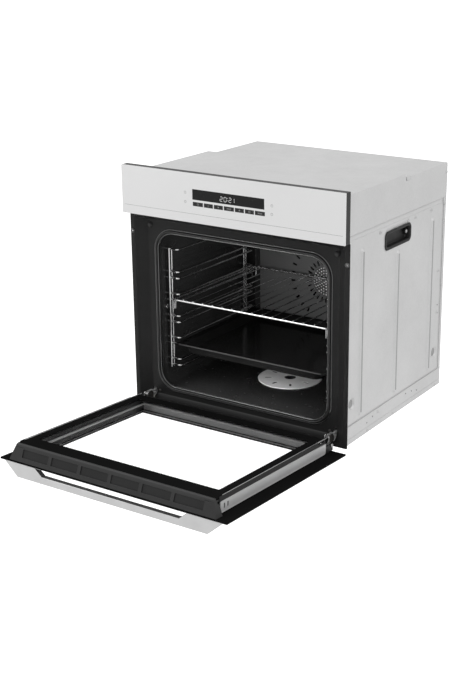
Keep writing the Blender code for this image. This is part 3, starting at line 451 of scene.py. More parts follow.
def zinc_finish():
    """Light satin sheet: cloudy zinc with faint crystal cells and fine rolling lines."""
    made = finish(
        "zinc_sheet", 0.60, 0.66, (0.38, 0.52), 6.0, (BRUSH, {"Stretch": (30.0, 30.0, 1400.0)}), 0.05,
        Metallic=0.35, Specular_IOR_Level=0.5,
    )
    tree = made.node_tree
    base = tree.nodes["Principled BSDF"].inputs["Base Color"]
    cell = placed(tree, SPANGLE, Scale=260.0).outputs["Cell"]
    share = ranged(tree, cell, 0.0, 0.10, 0.0, 1.0)
    feed(tree, base, blended(tree, share, base.links[0].from_socket, grey(0.86)))
    return made


def streaked(name, dark, light, gloss, stretch, **fixed):
    """A brushed metal: streaks change its gloss and raise a very low bump."""
    made = finish(name, dark, light, gloss, 20.0, (BRUSH, {"Stretch": stretch}), 0.06, **fixed)
    tree = made.node_tree
    line = placed(tree, BRUSH, Stretch=stretch).outputs["Streak"]
    feed(tree, tree.nodes["Principled BSDF"].inputs["Roughness"], ranged(tree, line, *gloss))
    return made


ZINC = zinc_finish()
# Darker copies of the side sheet's zinc: painted shade on the rib crowns and dimple floors, and a painted shadow line
# beside each rib.
RIB_SHADE_ZINC = streaked("rib_shade_zinc", 0.33, 0.38, (0.36, 0.48), (60.0, 60.0, 60.0), Metallic=0.35)
CREASE_SHADOW_ZINC = streaked("crease_painted_shadow", 0.24, 0.28, (0.40, 0.50), (60.0, 60.0, 60.0), Metallic=0.2)
WHITE_PRINT = finish("white_printed_glass", 0.77, 0.80, (0.16, 0.20), 3.0, Coat_Weight=0.6, Coat_Roughness=0.04)
BLACK_PRINT = finish("black_printed_glass", 0.008, 0.010, (0.10, 0.14), 4.0, Specular_IOR_Level=0.0)
# Grey print on the pane borders: a real grey print, made much lighter as painted light for the light these bands
# catch inside the pane stack.
PRINT_AND_LIGHT_GREY = finish("print_and_painted_light_grey", 0.34, 0.38, (0.30, 0.36), 4.0, Specular_IOR_Level=0.25)
ENAMEL = finish(
    "fired_enamel", 0.008, 0.011, (0.20, 0.28), 10.0, (GRAIN, {"Scale": 260.0}), 0.05,
    Specular_IOR_Level=0.30,
)
FRAME_ENAMEL = finish(
    "satin_enamel", 0.018, 0.022, (0.32, 0.40), 8.0, (GRAIN, {"Scale": 420.0}), 0.05,
    Specular_IOR_Level=0.15,
)
BEAD_ENAMEL = finish(
    "glossy_enamel", 0.020, 0.028, (0.07, 0.10), 10.0, Specular_IOR_Level=1.0, Coat_Weight=1.0,
    Coat_Roughness=0.04,
)
COVER_ENAMEL = finish(
    "dull_enamel", 0.030, 0.038, (0.38, 0.46), 8.0, (GRAIN, {"Scale": 420.0}), 0.05,
    Specular_IOR_Level=0.4,
)
BLACK_PLASTIC = finish(
    "black_moulding", 0.010, 0.014, (0.42, 0.52), 16.0, (GRAIN, {"Scale": 1500.0}), 0.15,
    Specular_IOR_Level=0.3,
)
CHARCOAL = finish(
    "charcoal_moulding", 0.024, 0.030, (0.40, 0.50), 16.0, (GRAIN, {"Scale": 1500.0}), 0.15,
    Specular_IOR_Level=0.3,
)
CHROME = streaked("chromed_wire", 0.86, 0.93, (0.10, 0.20), (300.0, 300.0, 300.0), Metallic=1.0)
STEEL = streaked("satin_steel", 0.60, 0.68, (0.26, 0.36), (30.0, 900.0, 900.0), Metallic=0.6)
DISC_STEEL = streaked("pressed_steel", 0.74, 0.82, (0.34, 0.46), (30.0, 900.0, 900.0), Metallic=0.3)
# Near-white steel for the fan's disc and hub: the disc is real, and its near-white colour is a painted reflection for
# the bright dots seen through the cover's holes.
REFLECTION_STEEL = streaked("painted_reflection_steel", 0.90, 0.96, (0.40, 0.50), (60.0, 60.0, 60.0), Specular_IOR_Level=0.6)
DARK_STEEL = streaked("blued_steel", 0.10, 0.14, (0.30, 0.42), (400.0, 400.0, 400.0), Metallic=0.6)
SPACER = streaked("spacer_profile", 0.20, 0.24, (0.30, 0.38), (20.0, 900.0, 900.0), Metallic=0.2)
SILVER = streaked("silver_anodised", 0.60, 0.66, (0.30, 0.40), (20.0, 1200.0, 1200.0), Metallic=0.3)
SHEATH = streaked("heater_sheath", grey(0.05, 0.05), grey(0.09, 0.05), (0.45, 0.6), (60.0, 60.0, 60.0), Metallic=0.6)
SEAL = finish(
    "seal_rubber", 0.020, 0.028, (0.42, 0.52), 60.0, (GRAIN, {"Scale": 1100.0}), 0.3,
    Specular_IOR_Level=0.5,
)
RUBBER = finish("buffer_rubber", 0.030, 0.040, (0.6, 0.7), 60.0, (GRAIN, {"Scale": 1400.0}), 0.3)
WOOL = finish(
    "mineral_wool", (0.52, 0.46, 0.26, 1), (0.72, 0.66, 0.44, 1), (0.9, 1.0), 60.0,
    (BRUSH, {"Stretch": (120.0, 260.0, 500.0)}), 0.9, 0.002,
)
BOARD = finish("circuit_board", (0.010, 0.085, 0.040, 1), (0.020, 0.14, 0.07, 1), (0.3, 0.4), 90.0)
DISPLAY = finish("display_lens", 0.008, 0.011, (0.12, 0.16), 6.0, Specular_IOR_Level=0.25)
KEY = finish("touch_key", 0.022, 0.028, (0.20, 0.26), 30.0, Specular_IOR_Level=0.25)
GREY_INK = finish("grey_ink", 0.10, 0.14, (0.3, 0.4), 60.0)
FAINT_INK = finish("faint_ink", 0.26, 0.32, (0.3, 0.4), 60.0)
KEY_INK = finish("key_ink", 0.24, 0.32, (0.3, 0.4), 60.0)
LIT_INK = finish("lit_digits", 0.70, 0.80, (0.3, 0.4), 60.0, Emission_Color=grey(0.85), Emission_Strength=0.12)
CLEAR = finish("clear_glass", 0.02, 0.03, (0.02, 0.04), 4.0, Alpha=0.025, IOR=1.5)
LENS = finish("lamp_lens", 0.75, 0.80, (0.08, 0.14), 20.0, Alpha=0.5, IOR=1.5)
RIM_ENAMEL = finish("worn_enamel", 0.009, 0.012, (0.28, 0.36), 12.0, Specular_IOR_Level=0.2)
TRAY_ENAMEL = finish(
    "tray_enamel", 0.002, 0.003, (0.10, 0.15), 12.0, (GRAIN, {"Scale": 300.0}), 0.03, Specular_IOR_Level=0.06
)
STRIP_ZINC = streaked("strip_steel", 0.60, 0.66, (0.36, 0.46), (30.0, 1200.0, 30.0), Metallic=0.5)

BY_SLOT = {
    "white_glass": WHITE_PRINT, "door_glass": CLEAR, "galvanised": ZINC, "black_enamel": ENAMEL,
    "black_plastic": BLACK_PLASTIC, "charcoal_plastic": CHARCOAL, "chrome_wire": CHROME, "steel": STEEL,
    "silver_handle": SILVER, "heater_sheath": SHEATH, "grey_seal": SEAL, "glass_wool": WOOL,
    "lamp_glass": LENS, "circuit_board": BOARD, "rubber": RUBBER,
}
for row in frame["record"]["subparts"]:
    NODES[row["node"]].data.materials.clear()
    NODES[row["node"]].data.materials.append(BY_SLOT[row["material_slot"]])

# ---------------------------------------------------------------- control panel

PANEL_FACE = -0.12
INK = (PANEL_FACE - 0.06, PANEL_FACE + 0.06)
FAINT = (-0.05, 0.05)
DIGIT_BARS = {"0": (0, 2, 3, 4, 5, 6), "1": (4, 6), "2": (0, 1, 2, 4, 5)}
DIGIT_LOW, DIGIT_WIDTH, DIGIT_HEIGHT, DIGIT_BAR = 541.2, 6.4, 10.0, 1.0
KEY_LOW, KEY_HIGH, MARK_Z = 521.7, 531, 526.3
KEY_EDGES = (
    (-95, -67.4), (-64.6, -40.1), (-37.4, -13.1), (-10.4, 16.3), (19, 42.8), (45.5, 69.1), (71.7, 97.6),
)


def panel_plate(left, right, low, high, proud=PANEL_FACE):
    """A printed field on the front of the glass."""
    return plate(left, right, low, high, proud, FAINT[1])


def hoop(x, z, outer, inner, layer):
    """A flat printed ring between two depths."""
    return pierced(circle(x, z, outer, 20), [circle(x, z, inner, 20)], *layer)


def digit(value, left):
    """Seven-bar figure: each bar is a six-sided strip with pointed ends, the first three across, the rest upright."""
    middle, top, right = DIGIT_LOW + DIGIT_HEIGHT / 2, DIGIT_LOW + DIGIT_HEIGHT, left + DIGIT_WIDTH
    bars = [(left, right, z) for z in (top, middle, DIGIT_LOW)]
    bars += [(low, high, x) for low, high in ((middle, top), (DIGIT_LOW, middle)) for x in (left, right)]
    half, gap = DIGIT_BAR / 2, DIGIT_BAR * 0.35
    shapes = []
    for bar in DIGIT_BARS[value]:
        a, b, at = bars[bar]
        line = [(a + gap, at), (a + gap + half, at + half), (b - gap - half, at + half),
                (b - gap, at), (b - gap - half, at - half), (a + gap + half, at - half)]
        shapes.append(prism(line if bar < 3 else [(v, u) for u, v in line], *INK))
    return shapes


def control_panel():
    """Display window, clock, touch keys and their marks, the thin line under them and four small icons."""
    piece("display_window", panel_plate(-96, 96, 536, 560), DISPLAY)
    shapes = []
    for value, left in (("2", -20.5), ("0", -10.0), ("2", 3.0), ("1", 11.0)):
        shapes += digit(value, left)
    shapes += [plate(-1.9, -0.5, z, z + 1.4, *INK) for z in (543.6, 548.8)]
    piece("clock_digits", merged(*shapes), LIT_INK)
    keys = [panel_plate(a, b, KEY_LOW, KEY_HIGH) for a, b in KEY_EDGES]
    piece("touch_keys", merged(*keys), KEY)
    marks, z = [], MARK_Z
    for number, (a, b) in enumerate(KEY_EDGES):
        x = (a + b) / 2
        if number in (0, 5):
            marks.append(hoop(x, z, 2.4, 1.7, INK))
        elif number in (1, 4):
            marks.append(plate(x - 2.2, x + 2.2, z - 0.4, z + 0.4, *INK))
            if number == 4:
                marks.append(plate(x - 0.4, x + 0.4, z + 0.5, z + 2.2, *INK))
                marks.append(plate(x - 0.4, x + 0.4, z - 2.2, z - 0.5, *INK))
        elif number == 2:
            marks.append(prism([(x - 1.6, z - 2.2), (x + 2.2, z), (x - 1.6, z + 2.2)], *INK))
        else:
            for step in range(-2, 3):
                marks.append(plate(x + 2.4 * step - 0.5, x + 2.4 * step + 0.5, z - 1.8, z + 1.8, *INK))
    piece("key_marks", merged(*marks), KEY_INK)
    piece("panel_line", panel_plate(-291, 292.5, 502.75, 503.25, FAINT[0]), GREY_INK)
    icons = []
    for x, z in ((-116, 550.5), (-116, 529), (115.5, 547), (115.5, 528)):
        icons += [hoop(x, z, 3.2, 2.5, FAINT), plate(x - 0.35, x + 0.35, z - 0.2, z + 2.0, *FAINT)]
    piece("panel_icons", merged(*icons), FAINT_INK)


# ---------------------------------------------------------------- case

BODY_HALF = 276.0
CASE_FRONT, SIDE_BACK, BACK = 48.0, 525.0, 539.0
SHEET_LOW, SHEET_HIGH, FOLD_Z, FOLD_DEEP = 44.3, 486.7, 475.0, 0.9
RIBS = ((118.0, 445.0), (288.0, 403.0), (466.0, 445.0))
RIB_LOW, RIB_HALF, RIB_RISE = 60.0, 9.5, 3.8
DIMPLES = ((80.0, 95.0), (500.0, 95.0))
DIMPLE_RADIUS, DIMPLE_DEEP = 15.0, 4.2
GRIP = (226.0, 345.0, 423.0, 457.0)
GRIP_SCREW = (334.5, 442)


def lines(ends, fine_at, reach, steps):
    """Grid lines between two ends, closer together within reach of each given place."""
    parts = [np.linspace(ends[0], ends[1], 12)]
    parts += [np.linspace(max(ends[0], a - reach), min(ends[1], a + reach), steps) for a in fine_at]
    return np.unique(np.round(np.concatenate(parts), 2))


def swell(away, reach, slope, height):
    """A smooth rise, height s s (3 - 2 s): s is 0 at the reach and 1 the slope's width further in."""
    s = np.clip((reach - away) / slope, 0, 1)
    return height * s * s * (3 - 2 * s)


def side_height(y, z):
    """How far the side sheet stands proud: a round bead over each rib line, less a round dimple and a folded top."""
    height = np.zeros_like(y)
    for rib, top in RIBS:
        away = np.hypot(y - rib, z - np.clip(z, RIB_LOW + 4, top - 4))
        height = np.maximum(height, swell(away, RIB_HALF, 6.0, RIB_RISE))
    for middle, level in DIMPLES:
        height = height - swell(np.hypot(y - middle, z - level), DIMPLE_RADIUS, 5.0, DIMPLE_DEEP)
    return height - FOLD_DEEP * (z > FOLD_Z)


def case_sides():
    """Each side sheet as a height over the (y, z) grid, with its grid squares left out at the hand grip."""
    front, back, low, high = GRIP
    near_dimple = np.linspace(-16, 16, 15)
    y = lines((CASE_FRONT, SIDE_BACK), [a for a, _ in RIBS], 10.5, 22)
    y = np.unique(np.concatenate([y, (front, back), *(a + near_dimple for a, _ in DIMPLES)]))
    z = lines((SHEET_LOW, SHEET_HIGH), [RIB_LOW + 2] + [b - 2 for _, b in RIBS], 10.5, 16)
    z = np.unique(np.concatenate([z, (low, high), (FOLD_Z - 0.1, FOLD_Z + 0.1), DIMPLES[0][1] + near_dimple]))
    across, up = np.meshgrid(y, z)
    faces = np.array(grid_faces(len(z), len(y), wrap_columns=False))
    centre_y, centre_z = across.ravel()[faces].mean(1), up.ravel()[faces].mean(1)
    hole = (centre_y > front) & (centre_y < back) & (centre_z > low) & (centre_z < high)
    kept = faces[~hole].tolist()
    for side, word in SIDES:
        skin = laid(across, up, side * (BODY_HALF + side_height(across, up)), "x").reshape(-1, 3), kept
        made = piece("side_sheet_" + word, skin, ZINC, stands_for=["side_panel_" + word], weld=False)
        wall = made.modifiers.new("thickness", "SOLIDIFY")
        wall.thickness = 1 / MM_PER_M
        wall.offset = -1 if made.data.polygons[0].normal.x * side > 0 else 1


def screw(centre, axis, direction, radius=3.6):
    """A washer-head screw: a flange, a low dome and a six-sided drive recess."""
    head = [(radius * 1.28, 0), (radius * 1.28, 0.5), (radius * 0.98, 0.7), (radius * 0.92, 1.5),
            (radius * 0.75, 1.9), (radius * 0.42, 1.95), (radius * 0.40, 0.9), (0.01, 0.85)]
    return turned(head, centre, axis, 14, direction)


SIDE_SCREWS = (
    (154, 7), (281, 6), (510, 4.8), (208, 33), (199, 467), (336, 467), (373, 467), (458, 468), (535, 548),
    (531, 470), (529.5, 427), (510, 305), (531, 263), (510, 197),
)
SIDE_HOLES = ((181, 31), (154, 24.5), (350, 33), (381, 29.5), (409, 23), (510, 217))
BACK_SCREWS = [(x, z) for x in (-262, -150, 0, 150, 262) for z in (20, 478)]
BACK_SCREWS += [(-262, 250), (262, 250), (-262, 560), (262, 560), (60, 253), (-60, 253)]


def case_fixings():
    """Screws, small punched holes drawn as dark discs of painted shade, and folded edges of the sheet case."""
    screws, holes, folds = [], [], []
    punched = [(1.7, -0.3), (1.7, 0.12), (0.01, 0.12)]
    for side, _ in SIDES:
        face = side * BODY_HALF
        screws += [screw((face, y, z), "x", side) for y, z in SIDE_SCREWS]
        holes += [turned(punched, (face, y, z), "x", 12, side) for y, z in SIDE_HOLES]
        out = sorted((face, face + side * 0.7))
        folds += [plate(49, 538.5, low, high, *out, "x") for low, high in ((0.2, 12.6), (42.2, 44.0))]
    screws += [screw((x, BACK, z), "y", 1) for x, z in BACK_SCREWS]
    piece("case_screws", merged(*screws), STEEL, sharp=45)
    # Dark discs in the punched holes: painted shade where the case is open.
    piece("case_hole_shadows", merged(*holes), BLACK_PLASTIC)
    piece("case_folds", merged(*folds), ZINC)


def side_pressings():
    """A rounded crown in each rib and a dished floor in each dimple, in a darker zinc as painted shade, and a thin
    darker wire beside each rib as a painted shadow line.
    """
    ribs, shadow_lines, shade_floors = [], [], []
    dish = [(11.5, 0), (10.5, 0.5), (0.01, 0.5)]
    for side, _ in SIDES:
        for y, top in RIBS:
            x = side * (BODY_HALF - 3.2)
            ribs.append(wire([(x, y, RIB_LOW + 4), (x, y, top - 4)], 7.6, (0, 1, 0), 24))
            x, y = side * (BODY_HALF + 0.2), y + 7.6
            shadow_lines.append(wire([(x, y, RIB_LOW + 6), (x, y, top - 6)], 1.1, (0, 1, 0), 10))
        shade_floors += [turned(dish, (side * (BODY_HALF - 4.3), y, z), "x", 28, side) for y, z in DIMPLES]
    # The darker rib crowns and dimple floors are painted shade; the thin dark wires beside the ribs are painted
    # shadow lines.
    piece("side_ribs", merged(*ribs), RIB_SHADE_ZINC)
    piece("rib_shadow_lines", merged(*shadow_lines), CREASE_SHADOW_ZINC)
    piece("dimple_shade_floors", merged(*shade_floors), RIB_SHADE_ZINC)


def case_seam_shadows():
    """Thin dark strips as painted shadow in the gaps where the sheets meet, the top cover's side lips, and the
    shallow pressing of the back.
    """
    seam_shadows, lips = [], []
    for side, _ in SIDES:
        face = side * BODY_HALF
        lips.append(plate(*sorted((face - side * 4.0, face - side * 0.2)), 324.0, 341.8, 563.2, 570.8, "z"))
        out = sorted((face - side * 0.5, face + side * 0.25))
        for ends in ((526.0, 526.8, 46, 474), (538.0, 538.7, 476, 568)):
            seam_shadows.append(plate(*ends, *out, "x"))
    # Dark strips along the seams: painted shadow in the gaps between the sheets.
    piece("case_seam_shadows", merged(*seam_shadows), DARK_STEEL)
    piece("cover_lips", merged(*lips), ZINC)
    pan = [(-half, half, low, high, radius, BACK + proud) for half, low, high, radius, proud in (
        (190, 110, 440, 18, 0), (190, 110, 440, 18, 0.3), (187, 113, 437, 15, 2.6), (180, 120, 430, 9, 2.6),
        (176, 124, 426, 6, 0.8),
    )]
    piece("rear_pressing", rings(pan), ZINC)


def hand_grips():
    """A rim rolled over the sheet and a cup behind it, as rings of rounded rectangles, and one screw in each."""
    front, back, low, high = GRIP
    cup = (
        (-0.4, 8, -0.3), (5.0, 12.4, 0.3), (5.2, 12.6, 1.2), (4.4, 12, 2.1), (3.0, 11, 2.5), (0.0, 9, 2.4),
        (-1.3, 8, 1.6), (-2.0, 7, 0.2), (-2.6, 7, -9.0), (-4.2, 6, -10.6), (-4.2, 6, -12.0), (-0.4, 8, -12.0),
    )
    post = [(6.2, -11.0), (6.0, -4.4), (5.2, -3.6), (0.01, -3.6)]
    for side, word in SIDES:
        def at_depth(grow, radius, proud):
            return (front - grow, back + grow, low - grow, high + grow, radius, side * (BODY_HALF + proud))
        wall = rings([at_depth(*row) for row in cup], "x", closed=True)
        bottom = rings([at_depth(-4.0, 6, -10.5), at_depth(-4.0, 6, -12.0)], "x")
        piece("grip_cup_" + word, merged(wall, bottom), BLACK_PLASTIC,
              stands_for=["hand_grip_" + word])
        boss = turned(post, (side * BODY_HALF, *GRIP_SCREW), "x", 20, side)
        piece("grip_boss_" + word, boss, BLACK_PLASTIC)
        head = screw((side * (BODY_HALF - 3.7), *GRIP_SCREW), "x", side, 3.3)
        piece("grip_screw_" + word, head, STEEL, sharp=45)


# ---------------------------------------------------------------- front frame

FRAME_SCREW = (240, 35)
COLLAR = (290, 434)


def opening(grow, y):
    """The frame's opening at a depth, grown outwards by a distance."""
    return (-231 - grow, 231 + grow, 53 - grow, 433 + grow, 42 + grow, y)


def front_frame():
    """Pressed frame: loops from the opening's rolled lip over the groove, the plane and the slope to the border."""
    face = [
        opening(-0.2, 49.5), opening(-0.4, 46.8), opening(0.3, 44.9), opening(1.7, 43.9), opening(3.2, 44.5),
        opening(4.2, 45.6), opening(8.4, 45.9), opening(9.2, 45.2), opening(10.4, 44.6), opening(11.8, 45.0),
        opening(12.8, 45.9),
        (-258, 258, 29.5, 461.5, 10, 46.0), (-260.2, 260.2, 28.0, 463.2, 10.5, 45.6),
        (-262.2, 262.2, 26.6, 464.8, 11, 44.4), (-283.2, 283.2, 14.4, 476.2, 17, 26.2),
        (-285.0, 285.0, 13.4, 477.2, 19, 25.2), (-287, 287, 12.6, 478.2, 18, 25.0),
        (-295.9, 295.9, 9.3, 481.2, 2.5, 25.0), (-296.5, 296.5, 9.0, 481.5, 3.0, 25.6),
    ]
    back = [
        (-296.5, 296.5, 9.0, 481.5, 3.0, 26.5), (-287, 287, 12.6, 478.2, 18, 26.5),
        (-262.2, 262.2, 26.0, 465.4, 11, 47.2), opening(12.8, 47.4), opening(1.2, 47.4), opening(1.0, 49.5),
    ]
    made = piece("frame_pressing", rings(face + back, "y", 10, closed=True), FRAME_ENAMEL,
                 stands_for=["front_frame"], sharp=50)
    cutters, bore = [], [(2.6, 0), (2.6, 60)]
    for side, _ in SIDES:
        cutters.append(plate(side * HINGE_X - 5, side * HINGE_X + 5, 17, 42, 10, 70))
        cutters.append(turned(bore, (side * FRAME_SCREW[0], 10, FRAME_SCREW[1]), "y", 16))
        cutters.append(turned(bore, (side * COLLAR[0], 10, COLLAR[1]), "y", 16))
    drill(made, merged(*cutters))


def front_details():
    """Seal roll, glossy beads on either side of it, collars, screws and the two door buffers of the frame."""
    loop, _ = rings([opening(6.3, 43.6)], "y", 14)
    piece("seal_roll", wire(loop, 2.4, (0, 1, 0), 12, closed=True), SEAL, stands_for=["cavity_gasket"])
    beads = []
    for grow, y in ((1.7, 45.4), (11.0, 46.2)):
        loop, _ = rings([opening(grow, y)], "y", 14)
        beads.append(wire(loop, 1.75, (0, 1, 0), 16, closed=True))
    piece("opening_beads", merged(*beads), BEAD_ENAMEL)
    collar = [(2.5, -0.3), (5.4, -0.3), (5.6, 0.4), (5.3, 1.2), (4.4, 2.4), (3.4, 3.0), (2.6, 2.7), (2.5, 1.8)]
    pad = [(6.6, -0.2), (6.6, 1.2), (6.0, 2.4), (4.8, 3.4), (4.4, 4.6), (3.6, 5.1), (0.01, 5.2)]
    collars, screws, buffers = [], [], []
    for side, _ in SIDES:
        collars.append(turned(collar, (side * COLLAR[0], 24.8, COLLAR[1]), "y", 24, -1, hollow=True))
        screws.append(screw((side * FRAME_SCREW[0], 46, FRAME_SCREW[1]), "y", -1, 3.0))
        buffers.append(turned(pad, (side * HINGE_X, 46.0, 449), "y", 24, -1))
    piece("frame_collars", merged(*collars), DARK_STEEL, stands_for=["frame_bush_left", "frame_bush_right"])
    piece("frame_screws", merged(*screws), SHEATH, sharp=45)
    piece("door_buffers", merged(*buffers), RUBBER, stands_for=["door_buffer_left", "door_buffer_right"])


# ---------------------------------------------------------------- cavity

FAN_Z = 253.0
COVER_SCREWS = [(x, z) for x in (-186, 186) for z in (90, 396)]
RACK_ENDS = (86.0, 404.0)
RACK_LEVELS, LEVEL_PITCH, RAIL_GAP = 5, 55, 15.7


def cavity():
    """Liner as rounded loops drawn to the back and closed there, and long beads pressed into its side walls."""
    def loop(shrink, radius, y):
        return (-241 + shrink, 241 - shrink, 46.5 + shrink, 440 - shrink, radius, y)
    rows = [
        (-242, 242, 45.5, 441, 25, 47.8), loop(0, 24, 47.8), loop(0, 24, 60), loop(0, 24, 440), loop(1, 24, 458),
        loop(4, 22, 466), loop(12, 16, 470), loop(60, 8, 470),
    ]
    piece("liner_shell", rings(rows, "y", 10, caps=(False, True)), ENAMEL,
          stands_for=["cavity_liner"], sharp=40)
    beads = []
    for side, _ in SIDES:
        for z in (150, 205, 260, 315):
            beads.append(wire([(side * 240.6, 130, z), (side * 240.6, 380, z)], 1.6, (0, 0, 1), 8))
    piece("wall_beads", merged(*beads), ENAMEL)


def hot_air_cover():
    """Plate with five rings of round holes and two of slots, a hole for each screw, and a sloping flange."""
    holes = [circle(0, FAN_Z, 2.3, 12)]
    for number in range(1, 6):
        count, radius = 6 * number, 7.0 * number
        for i in range(count):
            t = 2 * PI * (i + 0.5 * (number % 2)) / count
            holes.append(circle(radius * math.cos(t), FAN_Z + radius * math.sin(t), 2.1, 10))
    holes += [slot_loop(0, FAN_Z, 2 * PI * (i + 0.5) / 26, 43, 57, 2.3) for i in range(26)]
    outer_turns = [2 * PI * (i + 0.5) / 28 for i in range(28)]
    holes += [slot_loop(0, FAN_Z, t, 92, 105, 2.6) for t in outer_turns if abs(math.cos(t)) > 0.45]
    holes += [circle(x, z, 2.0, 12) for x, z in COVER_SCREWS]
    sheet = pierced(rounded(-199.5, 199.5, 72.5, 413.5, 6), holes, 434, 434.9)
    piece("hot_air_plate", sheet, COVER_ENAMEL, stands_for=["fan_cover"])
    rows = [
        (-198.8, 198.8, 73.2, 412.8, 5.5, 434.0), (-200.5, 200.5, 71.6, 414.4, 6, 434.6),
        (-211.4, 211.4, 62.6, 423.4, 6, 468.6), (-210.4, 210.4, 63.6, 422.4, 6, 468.6),
        (-199.5, 199.5, 72.6, 413.4, 5, 435.4),
    ]
    piece("hot_air_flange", rings(rows, "y", 6, closed=True), COVER_ENAMEL)
    screws = [screw((x, 434, z), "y", -1, 3.0) for x, z in COVER_SCREWS]
    piece("hot_air_screws", merged(*screws), STEEL, sharp=45)


def fan_rotor():
    """Plain front disc, sixteen curved blades and a domed hub on the shaft; the disc and hub are near-white as a
    painted reflection behind the cover's holes.
    """
    hub = turned([(4, 60), (4, 20), (14, 18), (14, 2.4), (10, 0.2), (0.01, 0)], (0, 438.6, FAN_Z), "y", 24, 1)
    disc = pierced(circle(0, FAN_Z, 41.0, 48), [], 438.7, 439.8)
    blades, s = [], np.linspace(0, 1, 7)
    for i in range(16):
        t = 2 * PI * i / 16 + 0.35 * s
        r = 22 + 44 * s
        line = np.stack([r * np.cos(t), FAN_Z + r * np.sin(t)], 1)
        side = np.stack([-np.sin(t), np.cos(t)], 1) * 0.5
        blades.append(prism(np.concatenate([line + side, (line - side)[::-1]]), 439.6, 457.5))
    # Disc and hub in near-white steel: painted reflection seen through the cover's holes.
    piece("fan_rotor", merged(hub, disc), REFLECTION_STEEL, "convection_fan", ["convection_fan"])
    piece("fan_blades", merged(*blades), DARK_STEEL, "convection_fan")


def floor_vent():
    """Flat plate with a low rim, a centre hole and eight radial slots, each over a dark strip."""
    centre, low, high = 262.0, 47.7, 48.2
    turns = [2 * PI * i / 8 + 0.56 for i in range(8)]
    slots = [slot_loop(0, centre, turn, 46, 63, 2.7) for turn in turns]
    under = [pierced(slot_loop(0, centre, turn, 44.5, 64.5, 4.2), [], low - 0.5, low - 0.1, "z") for turn in turns]
    disc = pierced(circle(0, centre, 78.6, 72), [circle(0, centre, 14.5, 32)] + slots, low, high, "z")
    edge = [(77.8, -0.8), (80.0, -0.8), (80.0, 0.1), (79.7, 0.4), (79.0, 0.5), (77.8, 0.5)]
    rim = turned(edge, (0, centre, low), "z", 72, hollow=True)
    piece("vent_shadows", merged(*under), BLACK_PLASTIC)
    piece("floor_vent", merged(disc, rim), DISC_STEEL, stands_for=["floor_disc"])


def side_racks():
    """On each side two pairs of uprights, five pairs of bent rails, a top rail and a stud at each end."""
    heights = [93.5 + LEVEL_PITCH * i + RAIL_GAP * j for i in range(RACK_LEVELS) for j in (0, 1)] + [385.0]
    near, far = RACK_ENDS
    stud = [(6, 0), (6, 1.2), (4, 2.4), (4, 9), (0.01, 9.2)]
    for side, word in SIDES:
        shapes, x = [], side * 228
        for y in (end + shift for end in RACK_ENDS for shift in (-4.7, 4.7)):
            shapes.append(wire([(x, y, 87.5), (x, y, 387.5)], 2.5, (1, 0, 0), 16))
        wall, rail = side * 240.3, side * 205
        for z in heights:
            corners = [(wall, near, z), (rail, near, z), (rail, far, z), (wall, far, z)]
            shapes.append(wire(bent(corners, 6, 6), 2.45, (0, 0, 1), 14))
        shapes += [turned(stud, (side * 240.8, y, 240), "x", 18, -side) for y in RACK_ENDS]
        piece("rack_wires_" + word, merged(*shapes), CHROME, stands_for=["side_rack_" + word],
              weld=False)


def oven_shelf():
    """Shelf frame, thin bars front to back, and loops turned down: narrow at the front corners, wide at the back."""
    z = 263.8
    over = z + 3.9
    half, front, back, bar, outer_bar = 213.5, 74.0, 424.0, 1.45, 182
    frame_loop, _ = rings([(-half, half, front, back, 5, z)], "z", 6)
    shapes = [wire(frame_loop, 2.5, (0, 0, 1), 14, closed=True)]
    for x in np.linspace(-outer_bar, outer_bar, 14):
        path = [(x, y, over) for y in (front - 2.0, front + 1.5, back - 1.5, back + 2.0)]
        shapes.append(wire(path, bar, (1, 0, 0), 10))
    for side, _ in SIDES:
        x = side * 211.0
        foot = [(x, front, z), (x, front + 1, z - 23), (x, front + 5, z - 23), (x, front + 7, z + 1)]
        shapes.append(wire(bent(foot, 2, 5), 1.6, (1, 0, 0), 10))
        x, y = side * 196.0, back - 26
        foot = [(x, y - 12, over), (x, y - 8, z - 18), (x, y + 8, z - 18), (x, y + 12, over)]
        shapes.append(wire(bent(foot, 4, 5), 1.6, (1, 0, 0), 10))
        shapes.append(wire([(x, y - 16, over), (x, back + 2, over)], bar, (1, 0, 0), 10))
        shapes.append(wire([(side * outer_bar, y - 14, over), (x, y - 14, over)], bar, (0, 0, 1), 10))
    piece("shelf_wires", merged(*shapes), CHROME, "wire_shelf", ["wire_shelf"], weld=False)


def oven_tray():
    """Tray as loops: rolled edge, flat rim, a soft shoulder, leaning walls, a round foot and the floor, in and out.

    A loop is (half width, in from the front, in from the back, corner radius, below the rim).
    """
    top = 152.7
    inside = (
        (211.6, 0.4, 0.4, 10, 1.6), (212, 0, 0, 10.4, 0.9), (211.4, 0.6, 0.6, 10, 0), (209.6, 2.4, 2.4, 9, 0.2),
        (199, 5, 9, 20, 0.4), (196.4, 6.6, 11, 22, 1.6), (195, 7.6, 12, 22, 4), (190, 10, 15.4, 22, 15),
        (187, 12.4, 18, 21, 18.6), (181, 18, 24, 18, 20.2), (172, 28, 33, 14, 20.6),
    )
    under = (
        (172, 28, 33, 14, 21.8), (182, 17, 23, 18, 21.4), (188.4, 11, 16.6, 21, 19.4), (191.4, 8.8, 14, 22, 15),
        (196.2, 6.4, 10.8, 22, 4), (198, 5.2, 9.4, 20, 1.6), (209.6, 2.4, 2.4, 9, 1.5),
    )
    loops = [(-x, x, 72 + front, 426 - back, radius, top - below) for x, front, back, radius, below
             in inside[::-1] + under[::-1]]
    piece("tray_shell", rings(loops, "z", 8), TRAY_ENAMEL, "baking_tray", ["baking_tray"])
    bead = wire([(-200, 73.6, top + 0.6), (200, 73.6, top + 0.6)], 1.7, (0, 0, 1), 14)
    piece("tray_front_bead", bead, RIM_ENAMEL, "baking_tray")


